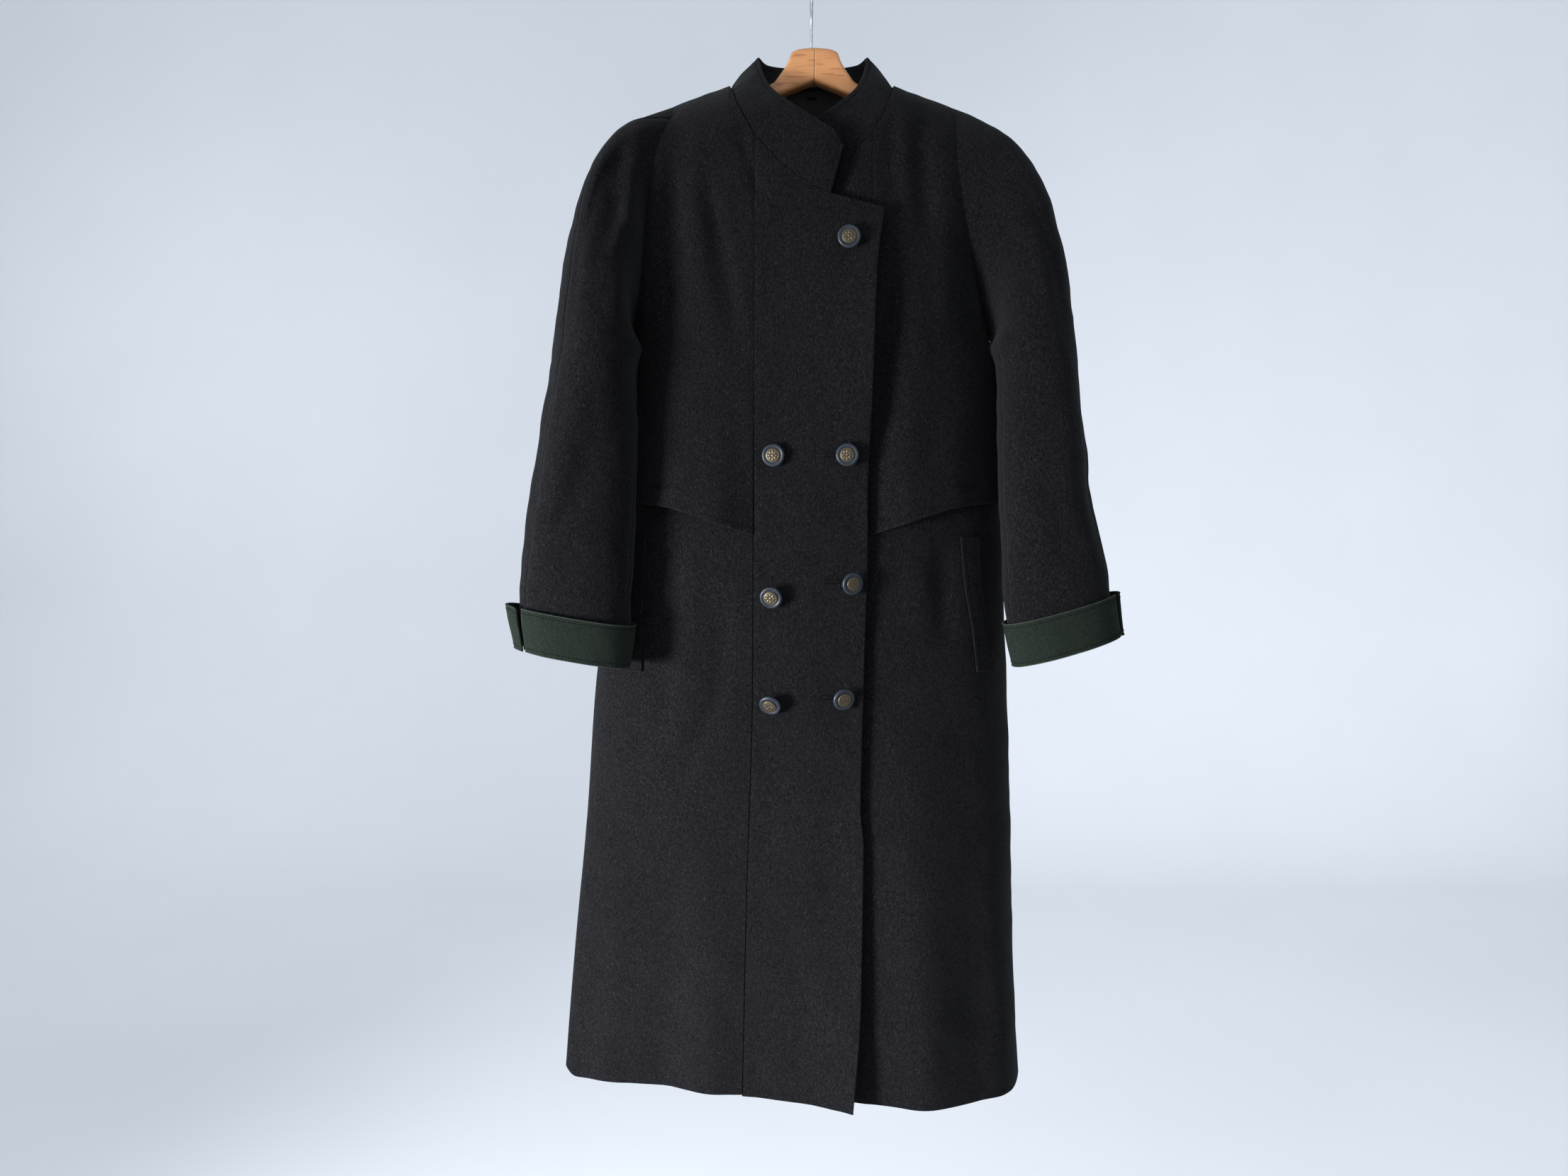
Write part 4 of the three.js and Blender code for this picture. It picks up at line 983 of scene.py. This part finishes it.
outer = {}
left_d, top_d = reach(lap, 1)[0], reach(lap, 0)[0]
lift = lap_lift(lap) + sewn_seam(left_d) + groove(top_d) * smooth(15, 19, lap[..., 0])
outer["lap"] = hold(lap, normals["lap"], lift)
outer["under"] = hold(under, normals["under"], under_lift(under))
for name, sign in SIDES:
    grid = sides[name]
    held = hold(grid, normals["side_" + name], side_lift(grid))
    outer["side_" + name] = held + OUT * crease(grid)[..., None]
    grid = flaps[name]
    near, bottom_d = reach(grid, 1)[0], reach(grid, 0)[1]
    lift = flap_lift(sign, grid) + sewn_seam(near) + groove(bottom_d)
    outer["flap_" + name] = hold(grid, normals["flap_" + name], lift) + OUT * crease(grid)[..., None]
outer["back"] = hold(back, normals["back"], 0)

node_names = {
    "lap": "right_front", "under": "left_front", "side_right": "right_side_front",
    "side_left": "left_side_front", "flap_right": "right_storm_flap", "flap_left": "left_storm_flap",
    "back": "back",
}
free_edges = {"lap": "RTB", "under": "RTB"}
pieces = {}
for key, node in node_names.items():
    inside = LODEN if key.startswith("flap") else LINING
    open_top = smooth(14, 19, outer[key][..., 0] * (1 if key == "lap" else -1))
    free = free_edges.get(key, "B")
    pieces[key] = shell(node + "_cloth", outer[key], normals[key], (LODEN, inside), free, top_share=open_top)
    finish_cloth(node)

# Sleeves, each a front and a back piece between the seam on the inner side and the one over the cuff's slit
FORE_SEAM = 0.45
SLITS = {"right": 0.1, "left": 0.05}
for name, (grid, normal, _, _) in sleeves.items():
    slit, fore = round(SLITS[name] * AROUND), round(FORE_SEAM * AROUND)
    for part, first, last in (("front", slit, fore), ("back", fore, AROUND + slit)):
        columns = np.arange(first, last + 1) % AROUND
        piece_grid, piece_normal = grid[:, columns].copy(), normal[:, columns]
        near, far = reach(piece_grid, 1)
        lift = 0.6 * (sewn_seam(near) + sewn_seam(far)) * smooth(-170, -300, piece_grid[..., 2])
        piece_grid = piece_grid + piece_normal * lift[..., None]
        key = f"{name}_{part}_sleeve"
        pieces[key] = shell(key + "_cloth", piece_grid, piece_normal, (LODEN, LINING), "B")
        finish_cloth(key)


# Collar
def along(rows, share):
    rows = np.array(rows, float)
    run = distances(rows)
    return np.stack([eased(run, rows[:, k], share * run[-1]) for k in range(3)], -1)


def collar_top(sign, share, at_back):
    point = along(COLLAR_TOP[COLLAR_EAR:] if at_back else COLLAR_TOP[: COLLAR_EAR + 1], share)
    if sign > 0:
        point[..., 0] = 2 * COLLAR_MIDDLE_X - point[..., 0]
        if not at_back:
            point[..., 1] += COLLAR_END_DROP * (1 - smooth(0.2, 0.75, share))
    return point


lap_end = int(np.argmin(np.abs(lap_shares - COLLAR_SHARE[0])))
under_end = int(np.argmin(np.abs(under_shares - COLLAR_SHARE[1])))
back_first = int(np.argmin(np.abs(back_shares - (1 - neck_inside) / 2)))
back_last = int(np.argmin(np.abs(back_shares - (1 + neck_inside) / 2)))
lap_line = lap[0] + normals["lap"][0] * lap_lift(lap[0])[:, None]
under_line = under[0] + normals["under"][0] * under_lift(under[0])[:, None]
right_neck, left_neck = neck_columns["right"], neck_columns["left"]
foot = np.concatenate([
    lap_line[: lap_end + 1][::-1],
    flaps["right"][0][3 : right_neck + 1],
    back[0][back_first + 1 : back_last],
    flaps["left"][0][3 : left_neck + 1][::-1],
    under_line[: under_end + 1],
])
foot_normal = np.concatenate([
    normals["lap"][0][: lap_end + 1][::-1],
    normals["flap_right"][0][3 : right_neck + 1],
    normals["back"][0][back_first + 1 : back_last],
    normals["flap_left"][0][3 : left_neck + 1][::-1],
    normals["under"][0][: under_end + 1],
])
run = distances(foot)
first = lap_end + 1 + right_neck - 3
last = len(foot) - 1 - (under_end + 1 + left_neck - 3)
middle, total = (run[first] + run[last]) / 2, run[-1]


def collar_rim(at):
    at = np.asarray(at, float)
    points = np.empty((len(at), 3))
    front_r, front_l = at <= run[first], at >= run[last]
    points[front_r] = collar_top(-1, at[front_r] / run[first], False)
    points[front_l] = collar_top(1, (total - at[front_l]) / (total - run[last]), False)
    behind = ~front_r & ~front_l
    near = behind & (at < middle)
    far = behind & (at >= middle)
    points[near] = collar_top(-1, (at[near] - run[first]) / (middle - run[first]), True)
    points[far] = collar_top(1, (run[last] - at[far]) / (middle - run[first]), True)
    return points


at = edged(np.linspace(3.4, total - 3.4, 170), total, (0, 0.25, 0.7, 1.3, 2.2))
low_line = points_at(at, run, foot)
low_normal = unit(points_at(at, run, foot_normal))
rim = collar_rim(at)
low_line = low_line + unit(rim - low_line) * SEAM_GAP
heights = np.concatenate([[0, 0.02, 0.05], np.linspace(0.09, 0.95, 22), [0.975, 0.99, 0.9965, 1]])
collar = low_line[None] + (rim - low_line)[None] * heights[:, None, None]
centre = np.array([COLLAR_MIDDLE_X, 0, -150.0])
collar_normal = normals_of(collar, collar - centre)
bow = np.sin(np.pi * heights)[:, None] * (1.6 + 0.8 * np.sin(at / 46.0))[None]
collar = collar + collar_normal * (bow + ripple(collar) * np.sin(np.pi * heights)[:, None])[..., None]
collar_normal = normals_of(collar, collar - centre)
collar_normal[0] = low_normal
end_near = reach(collar, 1)[0]
foot_d, rim_d = reach(collar, 0)
lift = groove(rim_d) + groove(end_near) + sewn_seam(foot_d)
collar = collar + collar_normal * lift[..., None]
pieces["collar"] = shell("collar_cloth", collar, collar_normal, (LODEN, LODEN), "LRB")
finish_cloth("collar")

# Turned-back cuffs: about their length once around, and the rounding of the tab's corner
CUFF_AROUND = 300
CUFF_CORNER, CUFF_CORNER_DROP = 7, 2.5
cuffs = {}
for name, tab, tab_end in (("right", 10.0, 1.093), ("left", 5.0, 1.044)):
    _, _, sign, table = sleeves[name]
    start = SLITS[name]
    low = table[-1][0]
    rows = edged(np.linspace(4, CUFF_HEIGHT - 4, 14), CUFF_HEIGHT)
    turn = lerp(start, tab_end, spread(CUFF_AROUND * (tab_end - start), 3.0))
    height, turn = np.meshgrid(rows, turn, indexing="ij")
    roll = tab * smooth(0.9, 1, turn) * (0.7 + 0.3 * height / CUFF_HEIGHT)
    roll = roll * lerp(1, 0.45, smooth(1, 1.09, turn))
    grow = CUFF_REST + FELT + roll + CUFF_SPREAD * height / CUFF_HEIGHT
    cuff = sleeve_point(table, sign, low + height, turn, grow)
    corner = np.maximum(0, 1 - (CUFF_HEIGHT - height) / CUFF_CORNER)
    corner = corner * np.maximum(0, 1 - (tab_end - turn) * CUFF_AROUND / CUFF_CORNER)
    cuff[..., 2] -= CUFF_CORNER_DROP * corner**2
    cuff_normal = normals_of(cuff, cuff - cuff.mean(axis=1, keepdims=True))
    low_d, top_d = reach(cuff, 0)
    lift = groove(top_d, 5, 0.35) + groove(low_d, 5, 0.3) + ripple(cuff) * 0.8
    cuff = cuff + cuff_normal * lift[..., None]
    key = f"{name}_cuff"
    pieces[key] = shell(key + "_felt", cuff, cuff_normal, (FELT_CLOTH, FELT_CLOTH), thickness=FELT)
    finish_cloth(key)
    cuffs[name] = (cuff, cuff_normal)

# Places on the front, found by looking at it from the front
trees = {}


def on_front(keys, x, z):
    """The place on these pieces' fronts at x and z, and the direction out of them."""
    best = None
    for key in keys:
        if key not in trees:
            data = pieces[key].data
            corners, faces = [v.co for v in data.vertices], [p.vertices for p in data.polygons]
            trees[key] = BVHTree.FromPolygons(corners, faces)
        hit, out, _, _ = trees[key].ray_cast(Vector((x / 1000, -0.4, z / 1000)), Vector((0, 1, 0)))
        if hit and (best is None or hit.y < best[0].y):
            best = (hit, out)
    hit, out = best
    if out.y > 0:
        out = -out
    return np.array(hit) * 1000, np.array(out)


def sew(name, parts, material=THREAD):
    """One piece of many threads."""
    made = new_object(name, *joined(parts), (material,))


# Pocket welts, each laid on its side front
WELT = ((-624, 166, 190), (-676, 171, 192), (-730, 181, 203), (-778, 187, 209))
LEFT_WELT_SHIFT = ((-624, 20), (-676, 17), (-778, 5))
for name, sign in SIDES:
    top_z, low_z = WELT[0][0], WELT[-1][0]
    z = top_z - edged(np.linspace(3, top_z - low_z - 3, 44), top_z - low_z, EDGE_STEPS[:4])
    inner, free = look_up(WELT, z)
    shift = look_up(LEFT_WELT_SHIFT, z)[0] if sign < 0 else 0 * z
    shares = spread(23, 2.2)
    x = sign * (lerp(inner[:, None], free[:, None], shares[None]) + shift[:, None])
    zz = np.broadcast_to(z[:, None], x.shape)
    grid = body(-1, angle_at(x, zz), zz)
    normal = normals_of(grid, -OUT)
    near, far = reach(grid, 1)
    top_d, low_d = reach(grid, 0)
    lift = CLOTH + 0.7 + groove(near, 4, 0.4, 0.9) + groove(far, 4, 0.4, 0.9) + ripple(grid) * 0.5
    grid = grid + normal * lift[..., None]
    key = f"{name}_pocket_welt"
    pieces[key] = shell(key + "_cloth", grid, normal, (LODEN, LODEN))
    finish_cloth(key)
    trim = []
    for side_letter in ("L", "R"):
        trim += stitches(*line_at(grid, normal, side_letter, 3.6))
    for side_letter in ("T", "B"):
        trim += stitches(*line_at(grid, normal, side_letter, 1.6), pitch=1.6, length=1.4)
    sew(key + "_stitching", trim)

# Topstitching
for name in ("right", "left"):
    grid, normal = outer["flap_" + name], normals["flap_" + name]
    sew(f"{name}_flap_stitching", stitches(*line_at(grid, normal, "B", STITCH_IN)))
    cuff, cuff_normal = cuffs[name]
    parts = stitches(*line_at(cuff, cuff_normal, "B", 5.0)) + stitches(*line_at(cuff, cuff_normal, "T", 5.0))
    sew(f"{name}_cuff_stitching", parts)
    # Thin tubes of the lighter felt along the cuff's top, bottom and tab edges: a painted highlight on the
    # felt's edges
    painted_edge_highlights = [tube(line_at(cuff, cuff_normal, side_letter, 0.7)[0], 0.6) for side_letter in "TBL"]
    sew(f"{name}_cuff_painted_edge_highlight", painted_edge_highlights, FELT_EDGE_HIGHLIGHT)
open_share = (lap_end + 2) / (lap.shape[1] - 1)
parts = stitches(*line_at(outer["lap"], normals["lap"], "T", STITCH_IN, open_share, 0.97))
sew("front_edge_stitching", parts)
rim_points, rim_normals = line_at(collar, collar_normal, "B", STITCH_IN, 0.03, 0.97)
end_points, end_normals = line_at(collar, collar_normal, "L", STITCH_IN, 0.05, 0.9)
sew("collar_stitching", stitches(rim_points, rim_normals) + stitches(end_points, end_normals))


# Buttonholes and the small sewn slits, as two lips of close stitches
def lips(keys, x0, x1, z, apart):
    parts = []
    for offset in (-apart / 2, apart / 2):
        xs = np.linspace(x0, x1, 24)
        line = [on_front(keys, x, z + offset) for x in xs]
        points, outs = np.array([p for p, _ in line]), np.array([n for _, n in line])
        parts.append(tube(points + outs * 0.15, 0.55, 8, True))
        for k in np.arange(0.5, abs(x1 - x0), 0.95):
            x = x0 + math.copysign(k, x1 - x0)
            ends = [on_front(keys, x, z + offset + d) for d in (-0.9, 0, 0.9)]
            bar_points = np.array([p + n * h for (p, n), h in zip(ends, (0.1, 0.75, 0.1))])
            parts.append(tube(bar_points, 0.34, 5, True))
    return parts


for i, (x0, x1, z) in enumerate(((40, 60, -304), (12, 40, -534), (12.5, 42, -673), (9, 36, -803))):
    sew(f"buttonhole_{i + 1}", lips(("lap",), x0, x1, z, 3.6))
for i, (key, x0, x1) in enumerate((("flap_right", -180, -158), ("flap_left", 154, 182))):
    sew(f"flap_slit_{i + 1}", lips((key,), x0, x1, -568, 3.6))


# Buttons: a turned horn body with a rolled rim, and a medallion with a plain rosette in relief
def turned(profile, segments, relief=None):
    angles = 2 * np.pi * np.arange(segments) / segments
    points = []
    for radius, height in profile:
        for angle in angles:
            extra = relief(radius, angle) if relief else 0
            points.append((radius * math.cos(angle), radius * math.sin(angle), height + extra))
    return np.array(points), ring_faces(len(profile), segments)


def rosette(radius, angle):
    """Eight petals round a boss, inside a beaded ring."""
    r = radius / MEDALLION_RADIUS
    petals = 0.55 * math.exp(-(((r - 0.5) / 0.2) ** 2)) * abs(math.cos(4 * angle)) ** 1.6
    boss = 0.7 * math.exp(-((r / 0.16) ** 2))
    ring = 0.35 * math.exp(-(((r - 0.84) / 0.06) ** 2)) * (0.65 + 0.35 * math.cos(24 * angle))
    return petals + boss + ring


RIM_SEGMENTS, MEDAL_SEGMENTS = 64, 96
for index, (x, z, side_lean, down_lean) in enumerate(BUTTONS, start=1):
    foot_point, out = on_front(("lap",), x, z)
    facing = out.copy()
    facing[0] += math.tan(math.radians(side_lean)) * np.sign(x)
    facing[2] -= math.tan(math.radians(down_lean))
    facing = unit(facing)
    lean = max(side_lean, down_lean)
    place = foot_point + out * SEAM_GAP + facing * 1.3 * SHANK_RADIUS * math.sin(math.radians(lean))
    across = unit(np.cross((0, 0, 1), facing))
    axes = np.array([across, np.cross(facing, across), facing])
    s = SHANK + 0.12 * lean
    r = BUTTON_RADIUS
    rim_profile = [
        (0.01, 0), (SHANK_RADIUS, 0), (SHANK_RADIUS, s * 0.5), (SHANK_RADIUS + 0.6, s), (r - 2.4, s + 0.3),
        (r - 1.0, s + 0.7), (r - 0.3, s + 1.5), (r, s + 2.5), (r - 0.25, s + 3.5), (r - 0.9, s + 4.3),
        (r - 1.8, s + 4.65), (r - 2.8, s + 4.55), (r - 3.6, s + 4.15), (r - 4.1, s + 3.9), (r - 4.5, s + 4.0),
        (MEDALLION_RADIUS - 0.2, s + 4.1), (0.01, s + 4.1),
    ]
    points, faces = turned(rim_profile, RIM_SEGMENTS)
    button = new_object(f"button_{index}_horn", points @ axes + place, faces, (HORN,))
    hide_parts(f"button_{index}")
    m = MEDALLION_RADIUS
    medal_profile = [(0.01, s + 4.3), (m, s + 4.3), (m, s + 5.2), (m - 0.25, s + 5.5)]
    medal_profile += [(m * t, s + 5.5 + 0.35 * (1 - t**2)) for t in np.linspace(0.95, 0.02, 30)]
    points, faces = turned(medal_profile, MEDAL_SEGMENTS, lambda q, a: rosette(q, a) if q < m - 0.3 else 0)
    bottom_count = 3 * MEDAL_SEGMENTS
    points[:bottom_count, 2] = np.minimum(points[:bottom_count, 2], s + 5.2)
    medal = new_object(f"medallion_{index}_relief", points @ axes + place, faces, (BRONZE,))
    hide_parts(f"medallion_{index}")

# The hanging loop inside the back of the neck, which stands furthest from the cloth in its middle
LOOP_Z, LOOP_LEFT, LOOP_RIGHT = -121.0, -4, 7
ends = []
for x in np.linspace(LOOP_LEFT, LOOP_RIGHT, 16):
    at_back = body(1, angle_at(x, LOOP_Z), LOOP_Z)
    stand = CLOTH + 1.4 + 0.9 * math.sin(math.pi * (x - LOOP_LEFT) / (LOOP_RIGHT - LOOP_LEFT))
    ends.append(at_back - OUT * stand)
loop_points, loop_faces = tube(ends, 1.5, 10, True)
hang_loop = new_object("hang_loop_cord", loop_points, loop_faces, (LODEN,))
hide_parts("hang_loop")

# The hanger's arms, with rounded edges
MITRE_X = 3.3
ARM = (
    # out from the mitre, top, underside, middle in depth, half thickness
    (0.15, -77, -114, 0, 12),
    (14, -78, -119.5, 0, 12),
    (25.5, -82, -124, 0, 12),
    (29, -91, -125.5, 0, 12),
    (37, -104, -129, 0.5, 12),
    (48, -116, -133, 1.5, 11.5),
    (86, -125, -148, 4, 11),
    (150, -146, -170, 4, 10),
    (168, -156, -176, 3.5, 9.5),
    (180, -163, -178, 3, 8),
    (184, -167, -176, 3, 5),
)


# Points round an arm, and how square its section is: 1 is round, 0 has sharp corners
ARM_AROUND, ARM_POWER = 40, 0.42


def arm(name, sign):
    out = [np.linspace(0.15, 60, 50), np.linspace(60, 180, 36), np.linspace(180, 184, 8)]
    out = np.unique(np.concatenate(out))
    top, low, middle, thick = look_up(ARM, out)
    points = []
    for o, t, b, m, h in zip(out, top, low, middle, thick):
        for i in range(ARM_AROUND):
            turn = 2 * math.pi * (i + 0.5) / ARM_AROUND
            c, s = math.cos(turn), math.sin(turn)
            y = m + h * math.copysign(abs(c) ** ARM_POWER, c)
            z = (t + b) / 2 + (t - b) / 2 * math.copysign(abs(s) ** ARM_POWER, s)
            points.append((MITRE_X + sign * o, y, z))
    faces = ring_faces(len(out), ARM_AROUND)
    if sign < 0:
        faces = [tuple(reversed(face)) for face in faces]
    made = new_object(name + "_wood", points, faces, (BEECH,))
    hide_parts(name)


arm("hanger_right_arm", -1)
arm("hanger_left_arm", 1)

# The hook: up the shank, forwards round a bend, over its support and down behind it
HOOK_FOOT, HOOK_BEND, HOOK_HALF_TURNS = -84, -54, 1.2
line = [(0, 0, z) for z in np.linspace(HOOK_FOOT, HOOK_BEND, 14)]
radius = HOOK_RADIUS + WIRE_RADIUS
for t in np.linspace(0.04, 1, 26):
    line.append((0, -radius * float(smooth(0, 1, t)), lerp(HOOK_BEND, -HOOK_RADIUS, t)))
for t in np.linspace(0.01, 1, 70):
    turn = math.pi * (1 - HOOK_HALF_TURNS * t)
    line.append((0, radius * math.cos(turn), -HOOK_RADIUS + radius * math.sin(turn)))
hook_points, hook_faces = tube(line, WIRE_RADIUS, 20)
hook = new_object("hanger_hook_wire", hook_points, hook_faces, (WIRE,))
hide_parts("hanger_hook")


# A pale floor that sweeps up behind
def stage_material():
    material, tree, shader, place = nodes_of("pale_floor")
    slow = noise(tree, place, 2, (1, 1, 1), 2)
    colour = two_tone(tree, slow, (0.76, 0.785, 0.81), (0.78, 0.805, 0.83))
    set_inputs(tree, shader, {"Base Color": colour, "Roughness": 0.9})
    return material


FLOOR_Z, SWEEP_Y, SWEEP_RADIUS = -1800, 2200, 900
profile = [(-6000, FLOOR_Z), (SWEEP_Y, FLOOR_Z)]
for t in np.linspace(0, math.pi / 2, 24)[1:]:
    profile.append((SWEEP_Y + SWEEP_RADIUS * math.sin(t), FLOOR_Z + SWEEP_RADIUS * (1 - math.cos(t))))
profile.append((SWEEP_Y + SWEEP_RADIUS, 4000))
floor_points = [(x, y, z) for y, z in profile for x in (-7000, 7000)]
floor_faces = [(2 * k, 2 * k + 1, 2 * k + 3, 2 * k + 2) for k in range(len(profile) - 1)]
mesh = bpy.data.meshes.new("floor")
mesh.from_pydata((np.array(floor_points) / 1000).tolist(), [], floor_faces)
mesh.materials.append(stage_material())
mesh.polygons.foreach_set("use_smooth", np.full(len(floor_faces), True))
floor = bpy.data.objects.new("floor", mesh)
bpy.context.scene.collection.objects.link(floor)

# Soft studio light, strongest from the left
WORLD, KEY, LOW, WASH = 0.83, 6.5, 31, 6
world = bpy.data.worlds.new("studio")
world.use_nodes = True
world.node_tree.nodes["Background"].inputs["Color"].default_value = (0.86, 0.92, 1.0, 1)
world.node_tree.nodes["Background"].inputs["Strength"].default_value = WORLD
bpy.context.scene.world = world


def lamp(name, place, target, size, energy, colour, spread_angle):
    data = bpy.data.lights.new(name, "AREA")
    data.shape = "RECTANGLE"
    data.size, data.size_y = size
    data.energy = energy
    data.color = colour
    data.spread = math.radians(spread_angle)
    made = bpy.data.objects.new(name, data)
    made.location = place
    made.rotation_euler = (Vector(target) - Vector(place)).to_track_quat("-Z", "Y").to_euler()
    bpy.context.scene.collection.objects.link(made)


lamp("key", (-1.9, -1.7, 0.3), (0, 0, -0.6), (1.0, 1.0), KEY, (0.97, 0.98, 1.0), 120)
lamp("low", (-2.0, -1.25, -1.0), (-0.1, 0, -1.15), (0.6, 0.6), LOW, (0.97, 0.98, 1.0), 75)
lamp("wash", (-3.2, 0.6, 0.2), (-1.2, 3.1, -0.5), (1.0, 1.0), WASH, (1.0, 1.0, 1.0), 90)

bpy.context.scene.view_settings.view_transform = "Standard"
bpy.context.scene.view_settings.look = "None"
